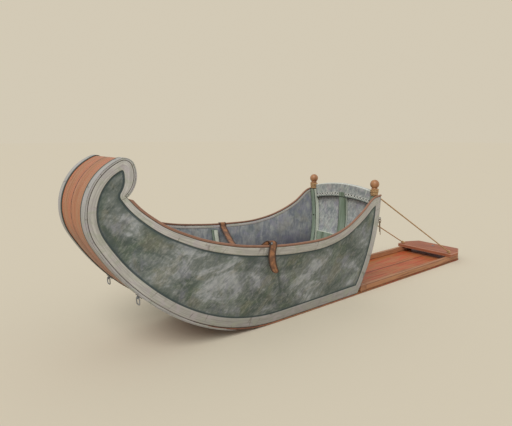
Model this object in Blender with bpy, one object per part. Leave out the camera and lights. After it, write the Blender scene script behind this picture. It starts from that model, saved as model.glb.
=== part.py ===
"""Carriole dog sled: two long boards curled up into a scroll at the bow, hide sides laced
to them, a raked back with turned posts, and an open tail deck behind it.

Metres, +Z up.  The bow points to -X, the tail deck to +X, and the sled's left side is -Y.
Sizes are measured from the back's foot, where x = 0, and the whole sled is then
centred over the origin, with the boards' undersides at z = 0.
"""
import math
from collections import namedtuple

import bmesh
import bpy
import numpy as np
from mathutils import Vector

# Fits
GAP = 0.0003                # between two pieces that touch
PANEL_FIT = 0.0008          # between a stiff member and the hide that it stands against
PLATE_FIT = 0.0006          # between an iron plate and the face that it stands on

# Bottom boards: their underside runs flat and then along the bow's arcs
TAIL_LENGTH = 1.230         # from the back's foot to the boards' rear end
FLAT_LENGTH = 0.620         # from the back's foot to where the bow starts to rise
BOW_ARCS = ((0.980, 61.5), (0.229, 96.9), (0.030, 93.5), (0.133, 57.2))   # radius, turn in degrees
BOARD_THICK = 0.010
CURL_THICK = 0.0055         # the boards are shaved thin where they curl
SEAM = 0.001                # open seam between the two boards
BOARD_LIP = 0.0028          # how far the boards' edges stand out past the hide
TAIL_CORNER = 0.055         # radius of the boards' rear corners
EDGE_STRIP_WIDTH = 0.042
EDGE_STRIP_THICK = 0.003
EDGE_STRIP_START = 15.0     # heading of the bow, in degrees, where the strips begin

REAR_HEIGHT = 0.580         # top edge of the side panels at their rear corner

# Side panels: share of the way from the rear edge to the throat of the scroll,
# half width at the boards, half width at the top edge, height of the top edge
SIDE_TABLE = (
    (0.000, 0.210, 0.262, REAR_HEIGHT),
    (0.040, 0.210, 0.263, 0.571),
    (0.110, 0.210, 0.268, 0.504),
    (0.213, 0.210, 0.286, 0.439),
    (0.316, 0.210, 0.300, 0.410),
    (0.454, 0.210, 0.309, 0.410),
    (0.591, 0.208, 0.308, 0.427),
    (0.729, 0.200, 0.292, 0.461),
    (0.845, 0.188, 0.262, 0.516),
    (0.935, 0.175, 0.222, 0.590),
    (0.975, 0.169, 0.190, 0.645),
)
THROAT_HALF_WIDTH = 0.167
PANEL_THICK = 0.005
BINDING_THICK = 0.002
BINDING_BOTTOM = 0.060      # widths of the pale binding
BINDING_BOTTOM_CURL = 0.045
BINDING_TOP = 0.048
BINDING_TOP_THROAT = 0.030
BINDING_REAR = 0.050
FOLD_DEPTH = 0.014          # binding turned over the top edge, on the inside
FOLD_THICK = 0.0015
RAIL_WIDTH = 0.010
RAIL_HEIGHT = 0.010
RAIL_INSET = 0.0052         # from the hide's outer face to the rail's inner side

# Back: its rear edge leaves the foot at this rake and bows forward again
BACK_RAKE = 0.54
BACK_BOW = 0.58
BACK_SEGMENTS = 6           # straight stretches up to the arched rail
KNOT_CLEAR = 0.005          # least length of a straight stretch at a member's end
BACK_PANEL_SET = 0.007      # from the side panels' rear edge to the back panel
BACK_PANEL_THICK = 0.005
POST_SIZE = 0.036
POST_CHAMFER = 0.005
POST_TOP = REAR_HEIGHT      # the posts end level with the side panels
ARCH_TOP = REAR_HEIGHT + 0.055
ARCH_RISE = 0.034
ARCH_DEPTH = 0.082
ARCH_THICK = 0.024
STILE_WIDTH = 0.060
STILE_THICK = 0.018
BACK_SILL_LOW = 0.245
BACK_SILL_HEIGHT = 0.062
NECK_FOOT_RADIUS = 0.0125
NECK_SHOULDER_RADIUS = 0.017
NECK_HEIGHT = 0.041         # from the foot to the shoulder under the ball
NECK_SHOULDER = 0.003       # height of the shoulder
GROOVE_RADIUS = 0.015       # where the ball meets the neck
BALL_RADIUS = 0.0255
FINIAL_HEIGHT = 0.094
SCALLOPS = 20               # pale edging along the foot of the arched rail's front
SCALLOP_STEPS = 6           # straight stretches in each scallop
SCALLOP_LOW = 0.0008        # from the rail's lower edge
SCALLOP_BASE = 0.013        # height of the edging in the notches
SCALLOP_RISE = 0.011
SCALLOP_THICK = 0.002

# Inside
RIB_PLACE = 0.660           # ahead of the back's foot
RIB_WIDTH = 0.030
RIB_DEPTH = 0.026
BAR_WIDTH = 0.042
BAR_THICK = 0.014
FLOOR_BARS = (0.130, 0.430)         # ahead of the back's foot
BOW_BARS = (12.0, 36.0, 66.0, 125.0)    # headings on the bow, in degrees
NOSE_RADIUS = 0.010
NOSE_SETBACK = 14.0         # degrees of the last arc between the nose bar and the boards' end

# Tail deck
DECK_RAIL_WIDTH = 0.028
DECK_RAIL_HEIGHT = 0.034
DECK_RAIL_INSET = 0.004
DECK_RAIL_END = 0.045       # from the rails' rear ends to the boards' end
FRONT_BAR_PLACE = 0.040     # behind the back's foot
FRONT_BAR_WIDTH = 0.055
REAR_BAR_THICK = 0.024
REAR_BAR_WIDTH = 0.215
REAR_BAR_OVERHANG = 0.038
REAR_BAR_HALF = 0.222
REAR_BAR_CLIP = (0.110, 0.055)      # along and across the sled

# Stay ropes
ROPE_RADIUS = 0.004
ROPE_LOOP_HEIGHT = 0.024    # above the post's top
ROPE_LOOP_PITCH = 0.009     # rise of the turn round the neck
STAY_KNOT_RADIUS = 0.011
KNOT_SEAT = 0.8             # share of its radius at which a knot is flattened below
STAY_FOOT_INSET = (0.022, 0.030)    # from the rear bar's front edge and end

# Eyes and the tie thong
EYE_HEIGHT = 0.441
EYE_INSET = 0.0068          # from the post's outer face
EYE_RADIUS = 0.0075
EYE_WIRE = 0.002
EYE_PLATE_RADIUS = 0.006
EYE_PLATE_THICK = 0.002
EYE_SHANK = 0.027           # long enough to carry the ring clear of the side panel
THONG_RADIUS = 0.002
THONG_LINK_RADIUS = 0.0075
THONG_LINK_FIT = 0.0005     # between the thong and the eye's wire
THONG_KNOT_RADIUS = 0.0065

# Route of each loose tail below the knot: rearward, to the right, down
THONG_TAILS = (
    ((0.0, -0.0023, 0.0), (0.0005, -0.0028, 0.012), (0.0015, -0.004, 0.03),
     (0.0, -0.006, 0.05), (0.001, -0.007, 0.068)),
    ((0.0005, 0.0023, 0.0), (0.0012, 0.003, 0.012), (0.003, 0.004, 0.026),
     (0.007, 0.0045, 0.04), (0.0105, 0.005, 0.053)),
)

# Lap strap
STRAP_PLACE = 0.665         # ahead of the back's foot, at the sled's middle
STRAP_SLANT = 0.17          # how far it drifts along the sled for each metre across
STRAP_WIDTH = 0.044
STRAP_THICK = 0.003
STRAP_FIT = 0.0008
STRAP_DIP = 0.012           # how far below the rail's top the strap starts to sag
STRAP_SAG = 0.085
STRAP_TAIL_NEAR = 0.150
STRAP_TAIL_FAR = 0.060

# Hitch rings
HITCH_HEADING = 45.0        # on the bow, in degrees
HITCH_WIRE = 0.0025
HITCH_BORE = 0.0033
HITCH_BARREL = 0.0058
HITCH_KEEPER_WIDTH = 0.010
HITCH_PAD = (0.030, 0.0025)         # length and thickness
HITCH_RING_WIDTH = 0.030
HITCH_RING_DROP = 0.028
HITCH_RING_CORNER = 0.008

Station = namedtuple("Station", "x z heading")
SIDES = (("left", -1.0), ("right", 1.0))


def clear_scene():
    for obj in list(bpy.data.objects):
        bpy.data.objects.remove(obj, do_unlink=True)


def material(name, colour, roughness=0.6, metallic=0.0):
    mat = bpy.data.materials.get(name) or bpy.data.materials.new(name)
    mat.use_nodes = True
    shader = mat.node_tree.nodes["Principled BSDF"]
    shader.inputs["Base Color"].default_value = (*colour, 1.0)
    shader.inputs["Roughness"].default_value = roughness
    shader.inputs["Metallic"].default_value = metallic
    return mat


FINISHES = {
    "board": ((0.52, 0.20, 0.09), 0.55, 0.0),
    "hide": ((0.15, 0.19, 0.16), 0.75, 0.0),
    "binding": ((0.42, 0.41, 0.38), 0.75, 0.0),
    "rail": ((0.28, 0.12, 0.07), 0.55, 0.0),
    "green_wood": ((0.12, 0.20, 0.10), 0.60, 0.0),
    "blue_hide": ((0.22, 0.25, 0.28), 0.75, 0.0),
    "turned_wood": ((0.55, 0.26, 0.09), 0.45, 0.0),
    "rope": ((0.60, 0.43, 0.22), 0.85, 0.0),
    "leather": ((0.30, 0.12, 0.05), 0.60, 0.0),
    "iron": ((0.25, 0.26, 0.27), 0.50, 0.8),
}


def finish_object(name, mesh, finish, root):
    mesh.materials.append(material(finish, *FINISHES[finish]))
    mesh.shade_smooth()
    mesh.set_sharp_from_angle(angle=math.radians(32))
    obj = bpy.data.objects.new(name, mesh)
    bpy.context.scene.collection.objects.link(obj)
    obj.parent = root
    return obj


def mesh_from(name, verts, faces):
    """Closed mesh with merged doubles and its faces pointing out."""
    bm = bmesh.new()
    points = [bm.verts.new(v) for v in verts]
    for face in faces:
        bm.faces.new([points[k] for k in face])
    bmesh.ops.remove_doubles(bm, verts=bm.verts, dist=1e-6)
    bmesh.ops.recalc_face_normals(bm, faces=bm.faces)
    mesh = bpy.data.meshes.new(name)
    bm.to_mesh(mesh)
    bm.free()
    return mesh


def loft(name, rings, finish, root, closed=False):
    """Solid through a row of rings with equally many points, capped or joined end to end."""
    count, size = len(rings), len(rings[0])
    verts = [point for ring in rings for point in ring]
    faces = []
    for i in range(count if closed else count - 1):
        a, b = i * size, ((i + 1) % count) * size
        for j in range(size):
            k = (j + 1) % size
            faces.append((a + j, a + k, b + k, b + j))
    if not closed:
        faces.append(tuple(range(size)))
        faces.append(tuple(reversed(range((count - 1) * size, count * size))))
    return finish_object(name, mesh_from(name, verts, faces), finish, root)


def sheet(name, front, back, cells, finish, root):
    """Thin solid between two matching grids of points, over the cells that are named."""
    columns = len(front[0])
    half = len(front) * columns
    verts = [p for row in front for p in row] + [p for row in back for p in row]
    faces, edges = [], {}
    for i, j in cells:
        a, b = i * columns + j, i * columns + j + 1
        c, d = a + columns + 1, a + columns
        faces.append((a, b, c, d))
        faces.append((half + d, half + c, half + b, half + a))
        for edge in ((a, b), (b, c), (c, d), (d, a)):
            key = tuple(sorted(edge))
            edges[key] = None if key in edges else edge
    faces += [(b, a, half + a, half + b) for a, b in filter(None, edges.values())]
    mesh = mesh_from(name, verts, faces)
    bm = bmesh.new()
    bm.from_mesh(mesh)
    bmesh.ops.delete(bm, geom=[v for v in bm.verts if not v.link_faces], context="VERTS")
    bm.to_mesh(mesh)
    bm.free()
    return finish_object(name, mesh, finish, root)


def bow_station(heading):
    """Point of the boards' underside where it heads this many degrees up from forward."""
    x, z, start = -FLAT_LENGTH, 0.0, 0.0
    for radius, turn in BOW_ARCS:
        end = min(heading, start + turn)
        a, b = math.radians(start), math.radians(end)
        x -= radius * (math.sin(b) - math.sin(a))
        z -= radius * (math.cos(b) - math.cos(a))
        start += turn
        if heading <= start:
            break
    return Station(x, z, heading)


BOW_END = sum(turn for _, turn in BOW_ARCS)
BROW = 90.0                                     # heading at the foremost point
TIGHT_START = BOW_ARCS[0][1] + BOW_ARCS[1][1]
APEX = TIGHT_START + BOW_ARCS[2][1] / 2         # tip of the side panels in the scroll


def board_thickness(heading):
    """The boards thin down evenly from the flat to the tight curl."""
    share = min(1.0, heading / TIGHT_START)
    return BOARD_THICK + (CURL_THICK - BOARD_THICK) * share


def offset(station, distance):
    """The station moved off the underside, inwards where the distance is positive."""
    a = math.radians(station.heading)
    return station.x + distance * math.sin(a), station.z + distance * math.cos(a)


def above_board(station, extra=GAP):
    return offset(station, board_thickness(station.heading) + extra)


def spread(first, last, steps):
    """Evenly spaced values after the first one, up to the last."""
    return [first + (last - first) * k / steps for k in range(1, steps + 1)]


FLAT_PLACES = [0.0, -BINDING_REAR] + spread(-BINDING_REAR, -FLAT_LENGTH, 11)
LOWER_RUN = [Station(x, 0.0, 0.0) for x in FLAT_PLACES] + [
    bow_station(h) for h in spread(0.0, BOW_ARCS[0][1], 16) + spread(BOW_ARCS[0][1], BROW, 4)]
SCROLL_OUT = [bow_station(h) for h in spread(BROW, TIGHT_START, 8) + spread(TIGHT_START, APEX, 3)]
SCROLL_IN = [bow_station(h) for h in
             spread(APEX, BOW_END - BOW_ARCS[3][1], 3) + spread(BOW_END - BOW_ARCS[3][1], BOW_END, 8)]
THROAT = above_board(SCROLL_IN[-1])


def back_edge_curve(z):
    return BACK_RAKE * z - BACK_BOW * z * z


ARCH_LOW = ARCH_TOP - ARCH_RISE - ARCH_DEPTH
STRAIGHT_FROM = ARCH_LOW - 0.02                 # above this height the back is straight
BACK_KNOTS = [STRAIGHT_FROM * k / BACK_SEGMENTS for k in range(BACK_SEGMENTS + 1)] + [ARCH_TOP + 0.05]


def back_edge(z):
    """Rear edge of the side panels at a height, in straight stretches between the knots."""
    return float(np.interp(z, BACK_KNOTS, [back_edge_curve(k) for k in BACK_KNOTS]))


def knots_between(low, high):
    """The back's knots well inside a stretch of its height."""
    return [k for k in BACK_KNOTS if low + KNOT_CLEAR < k < high - KNOT_CLEAR]


REAR_TOP = (back_edge(SIDE_TABLE[0][3]), SIDE_TABLE[0][3])
SIDE_ROWS = np.array(SIDE_TABLE + ((1.0, THROAT_HALF_WIDTH, THROAT_HALF_WIDTH, THROAT[1]),))
SIDE_SLOPES = np.gradient(SIDE_ROWS[:, 1:], SIDE_ROWS[:, 0], axis=0)


def side_row(share):
    """Base half width, top half width and top height, eased between the table's rows."""
    share = min(1.0, max(0.0, share))
    k = int(min(len(SIDE_ROWS) - 2, np.searchsorted(SIDE_ROWS[:, 0], share, side="right") - 1))
    step = SIDE_ROWS[k + 1, 0] - SIDE_ROWS[k, 0]
    t = (share - SIDE_ROWS[k, 0]) / step
    a, b = SIDE_ROWS[k, 1:], SIDE_ROWS[k + 1, 1:]
    p, q = SIDE_SLOPES[k] * step, SIDE_SLOPES[k + 1] * step
    return (a * (2 * t ** 3 - 3 * t ** 2 + 1) + p * (t ** 3 - 2 * t ** 2 + t)
            + b * (3 * t ** 2 - 2 * t ** 3) + q * (t ** 3 - t ** 2))


def share_at(x):
    return (REAR_TOP[0] - x) / (REAR_TOP[0] - THROAT[0])


def half_width(x, z):
    """Half width of the hide's outer face: straight from the boards to the top edge."""
    base, top, height = side_row(share_at(x))
    return float(base + (top - base) * z / height)


def top_edge(share):
    x = REAR_TOP[0] + (THROAT[0] - REAR_TOP[0]) * share
    return x, float(side_row(share)[2])


def run_lengths(points):
    steps = [math.dist(a, b) for a, b in zip(points, points[1:])]
    return np.concatenate(([0.0], np.cumsum(steps)))


def side_rails():
    """Lower and upper edge of a side panel, as equally many points in the x-z plane.

    The upper edge runs from the rear top to the throat and then back up inside the curl,
    so that both edges meet at the scroll's apex.
    """
    lower = [above_board(s) for s in LOWER_RUN]
    shares = run_lengths(lower) / run_lengths(lower)[-1]
    upper = [top_edge(s) for s in shares[:-1]] + [THROAT]
    lower += [above_board(s) for s in SCROLL_OUT]
    upper += [above_board(s) for s in reversed([SCROLL_OUT[-1]] + SCROLL_IN[:-1])]
    return lower, upper


def edge_normals(points):
    """Unit normals of a run of points in the x-z plane, to the left of its direction."""
    p = np.array(points)
    run = np.gradient(p, axis=0)
    return np.stack((-run[:, 1], run[:, 0]), axis=1) / np.linalg.norm(run, axis=1)[:, None]


SIDE_COLUMNS = 6


def side_grid():
    """Grid of the hide's outline: stations along the sled by columns from board to top edge."""
    lower, upper = (np.array(rail) for rail in side_rails())
    up = edge_normals(lower) * -1.0
    down = edge_normals(upper)
    turn = len(LOWER_RUN) - 1
    last = len(lower) - 1
    rows = []
    for i, (low, high) in enumerate(zip(lower, upper)):
        across = high - low
        fore = min(1.0, i / turn)
        curl = max(0.0, (i - turn) / (last - turn))
        wide_low = BINDING_BOTTOM + (BINDING_BOTTOM_CURL - BINDING_BOTTOM) * fore ** 2
        wide_high = BINDING_TOP + (BINDING_TOP_THROAT - BINDING_TOP) * fore ** 3
        wide_high += (BINDING_BOTTOM_CURL - BINDING_TOP_THROAT) * curl
        v_low = min(0.42, wide_low / max(1e-4, float(across @ up[i])))
        v_high = min(0.42, wide_high / max(1e-4, float(-across @ down[i])))
        v_fold = v_high * FOLD_DEPTH / wide_high
        middle = 1.0 - v_low - v_high
        shares = (0.0, v_low, v_low + middle / 3, v_low + middle * 2 / 3, 1.0 - v_high, 1.0 - v_fold, 1.0)
        rear = max(0.0, 1.0 - i / (turn * 0.3)) ** 2
        row = []
        for v in shares:
            x, z = low + across * v
            straight = lower[0] + (upper[0] - lower[0]) * v
            row.append((x + rear * (back_edge(straight[1]) - straight[0]), z))
        rows.append(row)
    return rows


def side_skin(rows, side, out):
    return [[(x, side * (half_width(x, z) + out), z) for x, z in row] for row in rows]


def binding_cells(rows):
    """Cells under the pale binding: the two edges, the rear end and the scroll's tip."""
    cells = []
    for i in range(len(rows) - 1):
        width = math.dist(rows[i + 1][0], rows[i + 1][-1])
        tip = i >= len(LOWER_RUN) and width < BINDING_BOTTOM_CURL * 2
        cells += [(i, j) for j in range(SIDE_COLUMNS) if i == 0 or tip or j in (0, 4, 5)]
    return cells


def build_sides(root):
    rows = side_grid()
    cells = [(i, j) for i in range(len(rows) - 1) for j in range(SIDE_COLUMNS)]
    for word, side in SIDES:
        sheet(f"side_panel_{word}", side_skin(rows, side, 0.0), side_skin(rows, side, -PANEL_THICK),
              cells, "hide", root)
        sheet(f"side_binding_{word}", side_skin(rows, side, GAP),
              side_skin(rows, side, GAP + BINDING_THICK), binding_cells(rows), "binding", root)
    build_top_edges(rows, root)


def build_top_edges(rows, root):
    """Rail on the top edge of each panel, and the binding's fold on the inside."""
    edge = [row[-1] for row in rows[:len(LOWER_RUN)]]
    normals = edge_normals(edge) * -1.0
    crown = ((0.0, 0.0), (1.0, 0.0), (1.0, 0.6), (0.75, 1.0), (0.25, 1.0), (0.0, 0.6))
    folded = [row[-2:] for row in rows[2:len(LOWER_RUN) - 1]]
    inner = -PANEL_THICK - PANEL_FIT
    for word, side in SIDES:
        rail = []
        for (x, z), (nx, nz) in zip(edge, normals):
            y = half_width(x, z)
            rail.append([(x + nx * (GAP + RAIL_HEIGHT * v), side * (y - RAIL_INSET + RAIL_WIDTH * u),
                          z + nz * (GAP + RAIL_HEIGHT * v)) for u, v in crown])
        loft(f"gunwale_rail_{word}", rail[:-1], "rail", root)
        sheet(f"inner_fold_{word}", side_skin(folded, side, inner - FOLD_THICK),
              side_skin(folded, side, inner), [(i, 0) for i in range(len(folded) - 1)], "binding", root)


def tail_half_width(x):
    """The boards' rear corners are rounded."""
    full = SIDE_TABLE[0][1] + BOARD_LIP
    into = x - (TAIL_LENGTH - TAIL_CORNER)
    if into <= 0.0:
        return full
    return full - TAIL_CORNER + math.sqrt(max(0.0, TAIL_CORNER ** 2 - into ** 2))


def build_boards(root):
    corner = [TAIL_LENGTH - TAIL_CORNER * (1.0 - math.sin(math.radians(a))) for a in (75, 55, 35, 15)]
    tail = [Station(x, 0.0, 0.0) for x in [TAIL_LENGTH] + corner + [TAIL_LENGTH - TAIL_CORNER]]
    stations = tail + LOWER_RUN + SCROLL_OUT + SCROLL_IN
    for word, side in SIDES:
        rings, strips = [], []
        for s in stations:
            low, high = (s.x, s.z), offset(s, board_thickness(s.heading))
            if s.x > 0.0:
                edge_low = edge_high = tail_half_width(s.x)
            else:
                edge_low, edge_high = (half_width(*p) + BOARD_LIP for p in (low, high))
            rings.append([(low[0], side * SEAM / 2, low[1]), (low[0], side * edge_low, low[1]),
                          (high[0], side * edge_high, high[1]), (high[0], side * SEAM / 2, high[1])])
            if s.heading >= EDGE_STRIP_START:
                near, far = offset(s, -GAP), offset(s, -GAP - EDGE_STRIP_THICK)
                inner, outer = edge_low - EDGE_STRIP_WIDTH, edge_low
                strips.append([(near[0], side * inner, near[1]), (near[0], side * outer, near[1]),
                               (far[0], side * outer, far[1]), (far[0], side * inner, far[1])])
        loft(f"bottom_board_{word}", rings, "board", root)
        loft(f"edge_strip_{word}", strips, "binding", root)


def board_run():
    """The boards' upper face as a run of points in the x-z plane, from the foot to the curl's end."""
    return np.array([above_board(s, 0.0) for s in LOWER_RUN + SCROLL_OUT + SCROLL_IN])


def rise_under(base, along, inward, width):
    """Highest point of the boards' upper face under a flat bar, above its tangent plane."""
    local = (board_run() - base) @ np.array((along, inward)).T
    near = local[np.linalg.norm(local, axis=1) < width * 2]
    near = near[np.argsort(near[:, 0])]
    ends = np.interp((-width / 2, width / 2), near[:, 0], near[:, 1])
    under = near[np.abs(near[:, 0]) <= width / 2, 1]
    return max(0.0, *ends, *under)


def bar_across(name, station, root):
    """Flat bar over both boards, between the side panels."""
    a = math.radians(station.heading)
    along, inward = np.array((-math.cos(a), math.sin(a))), np.array((math.sin(a), math.cos(a)))
    base = np.array(above_board(station, 0.0))
    lift = rise_under(base, along, inward, BAR_WIDTH) + GAP
    corners = [tuple(base + along * u * BAR_WIDTH + inward * (lift + v * BAR_THICK))
               for u, v in ((-0.5, 0.0), (0.5, 0.0), (0.5, 0.7), (0.3, 1.0), (-0.3, 1.0), (-0.5, 0.7))]
    half = min(half_width(x, z) for x, z in corners) - PANEL_THICK - PANEL_FIT
    loft(name, [[(x, y, z) for x, z in corners] for y in (-half, half)], "board", root)


def build_bars(root):
    places = [Station(-x, 0.0, 0.0) for x in FLOOR_BARS] + [bow_station(h) for h in BOW_BARS]
    for k, station in enumerate(places, start=1):
        bar_across(f"cross_bar_{k}", station, root)
    nose = bow_station(BOW_END - NOSE_SETBACK)
    x, z = above_board(nose, GAP + NOSE_RADIUS)
    ring = [(x + NOSE_RADIUS * math.cos(a), z + NOSE_RADIUS * math.sin(a))
            for a in np.linspace(0.0, 2 * math.pi, 16, endpoint=False)]
    half = min(half_width(u, v) for u, v in ring) - PANEL_THICK - PANEL_FIT
    loft("nose_bar", [[(u, y, v) for u, v in ring] for y in (-half, half)], "board", root)


def back_front(z):
    """Front face of the back panel."""
    return back_edge(z) - BACK_PANEL_SET - BACK_PANEL_THICK


def inner_half(z):
    """Half width between the side panels at the back."""
    return half_width(back_front(z), z) - PANEL_THICK - PANEL_FIT


def arch_height(y):
    reach = inner_half(ARCH_LOW)
    return ARCH_TOP - ARCH_RISE * (y / reach) ** 2


def build_back(root):
    floor = BOARD_THICK + GAP
    build_posts(floor, root)
    build_back_panel(floor, root)
    between = inner_half(ARCH_LOW) - POST_SIZE - PANEL_FIT
    rings = []
    for y in np.linspace(-between, between, 17):
        high = arch_height(y)
        low = high - ARCH_DEPTH
        ring = []
        for z in (low, high):
            rear = back_edge(z) - BACK_PANEL_SET
            ring += [(rear, y, z), (rear - ARCH_THICK, y, z)]
        rings.append([ring[0], ring[1], ring[3], ring[2]])
    loft("back_arch_rail", rings, "blue_hide", root)
    build_scallops(between, root)

    sill_top = BACK_SILL_LOW + BACK_SILL_HEIGHT
    stile_top = arch_height(STILE_WIDTH / 2) - ARCH_DEPTH - GAP
    heights = [sill_top + GAP, *knots_between(sill_top, stile_top), stile_top]
    half = STILE_WIDTH / 2
    loft("back_centre_stile", [upright_ring(z, -half, half, STILE_THICK) for z in heights],
         "green_wood", root)
    rings = []
    heights = [BACK_SILL_LOW, *knots_between(BACK_SILL_LOW, sill_top), sill_top]
    for z in heights:
        reach = inner_half(z) - POST_SIZE - PANEL_FIT
        rings.append(upright_ring(z, -reach, reach, STILE_THICK))
    loft("back_sill", rings, "green_wood", root)


def build_scallops(reach, root):
    """Thin edging on the arched rail's front, with round scallops along its upper edge."""
    steps = SCALLOPS * SCALLOP_STEPS
    front, back = ([], []), ([], [])
    for k in range(steps + 1):
        y = reach * (2 * k / steps - 1)
        from_middle = abs(2 * (k % SCALLOP_STEPS) / SCALLOP_STEPS - 1)
        low = arch_height(y) - ARCH_DEPTH + SCALLOP_LOW
        high = low + SCALLOP_BASE + SCALLOP_RISE * math.sqrt(1 - from_middle ** 2)
        for row, z in enumerate((low, high)):
            x = back_edge(z) - BACK_PANEL_SET - ARCH_THICK - GAP
            front[row].append((x - SCALLOP_THICK, y, z))
            back[row].append((x, y, z))
    sheet("scallop_edging", front, back, [(0, j) for j in range(steps)], "binding", root)


def upright_ring(z, y_low, y_high, thick):
    """Level ring of a member that stands against the back panel's front face."""
    rear = back_front(z) - GAP
    return [(rear, y_low, z), (rear, y_high, z), (rear - thick, y_high, z), (rear - thick, y_low, z)]


def build_posts(floor, root):
    heights = [floor, *knots_between(floor, POST_TOP), POST_TOP]
    c = POST_CHAMFER
    for word, side in SIDES:
        rings = []
        for z in heights:
            rear, outer = back_front(z) - GAP, inner_half(z)
            front, inner = rear - POST_SIZE, outer - POST_SIZE
            rings.append([(x, side * y, z) for x, y in (
                (rear, inner + c), (rear, outer - c), (rear - c, outer), (front + c, outer),
                (front, outer - c), (front, inner + c), (front + c, inner), (rear - c, inner))])
        loft(f"back_post_{word}", rings, "green_wood", root)
        build_finial(word, side, root)


NECK_SLOPE = (NECK_SHOULDER_RADIUS - NECK_FOOT_RADIUS) / NECK_HEIGHT


def neck_radius(rise):
    return NECK_FOOT_RADIUS + NECK_SLOPE * rise


def neck_centre(side):
    rear = back_front(POST_TOP) - GAP
    return rear - POST_SIZE / 2, side * (inner_half(POST_TOP) - POST_SIZE / 2)


def build_finial(word, side, root):
    """Ball on a neck that widens upwards, turned about the post's axis."""
    x, y = neck_centre(side)
    bottom = POST_TOP + GAP
    centre = bottom + FINIAL_HEIGHT - BALL_RADIUS
    start = math.pi - math.asin(GROOVE_RADIUS / BALL_RADIUS)
    profile = [(NECK_FOOT_RADIUS, bottom), (NECK_SHOULDER_RADIUS, bottom + NECK_HEIGHT),
               (NECK_SHOULDER_RADIUS, bottom + NECK_HEIGHT + NECK_SHOULDER)]
    profile += [(BALL_RADIUS * math.sin(a), centre + BALL_RADIUS * math.cos(a))
                for a in np.linspace(start, 0.12, 9)]
    rings = [[(x + r * math.cos(a), y + r * math.sin(a), z)
              for a in np.linspace(0.0, 2 * math.pi, 20, endpoint=False)] for r, z in profile]
    loft(f"post_finial_{word}", rings, "turned_wood", root)


def build_back_panel(floor, root):
    ys = np.linspace(-1.0, 1.0, 17)
    levels = [floor] + BACK_KNOTS[1:-1]
    front, back = [], []
    for z in levels + [None]:
        row_front, row_back = [], []
        for share in ys:
            reach = inner_half(ARCH_LOW if z is None else z)
            y = share * reach
            height = arch_height(y) - ARCH_DEPTH - GAP if z is None else z
            x = back_front(height)
            row_front.append((x, y, height))
            row_back.append((x + BACK_PANEL_THICK, y, height))
        front.append(row_front)
        back.append(row_back)
    cells = [(i, j) for i in range(len(front) - 1) for j in range(len(ys) - 1)]
    sheet("back_panel", front, back, cells, "blue_hide", root)


def build_ribs(root):
    """Stanchions against the side panels, ahead of the sitter."""
    x = -RIB_PLACE
    floor = board_top_at(x) + GAP
    top = float(side_row(share_at(x))[2]) - FOLD_DEPTH - 0.008
    for word, side in SIDES:
        rings = []
        for z in (floor, top):
            fore, aft = (half_width(x + dx, z) - PANEL_THICK - PANEL_FIT
                         for dx in (-RIB_WIDTH / 2, RIB_WIDTH / 2))
            rings.append([(x - RIB_WIDTH / 2, side * fore, z), (x + RIB_WIDTH / 2, side * aft, z),
                          (x + RIB_WIDTH / 2, side * (aft - RIB_DEPTH), z),
                          (x - RIB_WIDTH / 2, side * (fore - RIB_DEPTH), z)])
        loft(f"mid_rib_{word}", rings, "green_wood", root)


def board_top_at(x):
    """Height of the boards' upper face under the rib, at its higher, forward side."""
    run = [above_board(s, 0.0) for s in LOWER_RUN]
    xs, zs = zip(*reversed(run))
    return float(np.interp(x - RIB_WIDTH / 2, xs, zs))


def prism(name, outline, low, high, finish, root):
    return loft(name, [[(x, y, z) for x, y in outline] for z in (low, high)], finish, root)


def build_deck(root):
    top = BOARD_THICK + GAP
    front = FRONT_BAR_PLACE + FRONT_BAR_WIDTH
    outer = SIDE_TABLE[0][1] + BOARD_LIP - DECK_RAIL_INSET
    prism("deck_front_bar", ((FRONT_BAR_PLACE, -outer), (front, -outer), (front, outer),
                             (FRONT_BAR_PLACE, outer)), top, top + DECK_RAIL_HEIGHT, "board", root)
    end = TAIL_LENGTH - DECK_RAIL_END
    for word, side in SIDES:
        inner = outer - DECK_RAIL_WIDTH
        prism(f"deck_rail_{word}", ((front + GAP, side * inner), (end, side * inner),
                                    (end, side * outer), (front + GAP, side * outer)),
              top, top + DECK_RAIL_HEIGHT, "board", root)
    rear = TAIL_LENGTH + REAR_BAR_OVERHANG
    fore, (clip_x, clip_y) = rear - REAR_BAR_WIDTH, REAR_BAR_CLIP
    low = top + DECK_RAIL_HEIGHT + GAP
    prism("deck_rear_bar", ((fore, -REAR_BAR_HALF), (rear - clip_x, -REAR_BAR_HALF),
                            (rear, -REAR_BAR_HALF + clip_y), (rear, REAR_BAR_HALF - clip_y),
                            (rear - clip_x, REAR_BAR_HALF), (fore, REAR_BAR_HALF)),
          low, low + REAR_BAR_THICK, "board", root)
    return fore, low + REAR_BAR_THICK


def tube_object(name, points, radius, finish, root, resolution=2):
    """Round rope or cord along a smooth run of points, with filled caps."""
    curve = bpy.data.curves.new(name, "CURVE")
    curve.dimensions = "3D"
    curve.bevel_depth = radius
    curve.bevel_resolution = resolution
    curve.use_fill_caps = True
    spline = curve.splines.new("POLY")
    spline.points.add(len(points) - 1)
    for point, place in zip(spline.points, points):
        point.co = (*place, 1.0)
    curve.materials.append(material(finish, *FINISHES[finish]))
    obj = bpy.data.objects.new(name, curve)
    bpy.context.scene.collection.objects.link(obj)
    obj.parent = root
    return obj


def turned(name, centre, profile, finish, root, steps=16):
    """Solid of revolution about a vertical axis, from pairs of radius and height."""
    cx, cy, cz = centre
    rings = [[(cx + r * math.cos(a), cy + r * math.sin(a), cz + z)
              for a in np.linspace(0.0, 2 * math.pi, steps, endpoint=False)] for r, z in profile]
    return loft(name, rings, finish, root)


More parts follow.
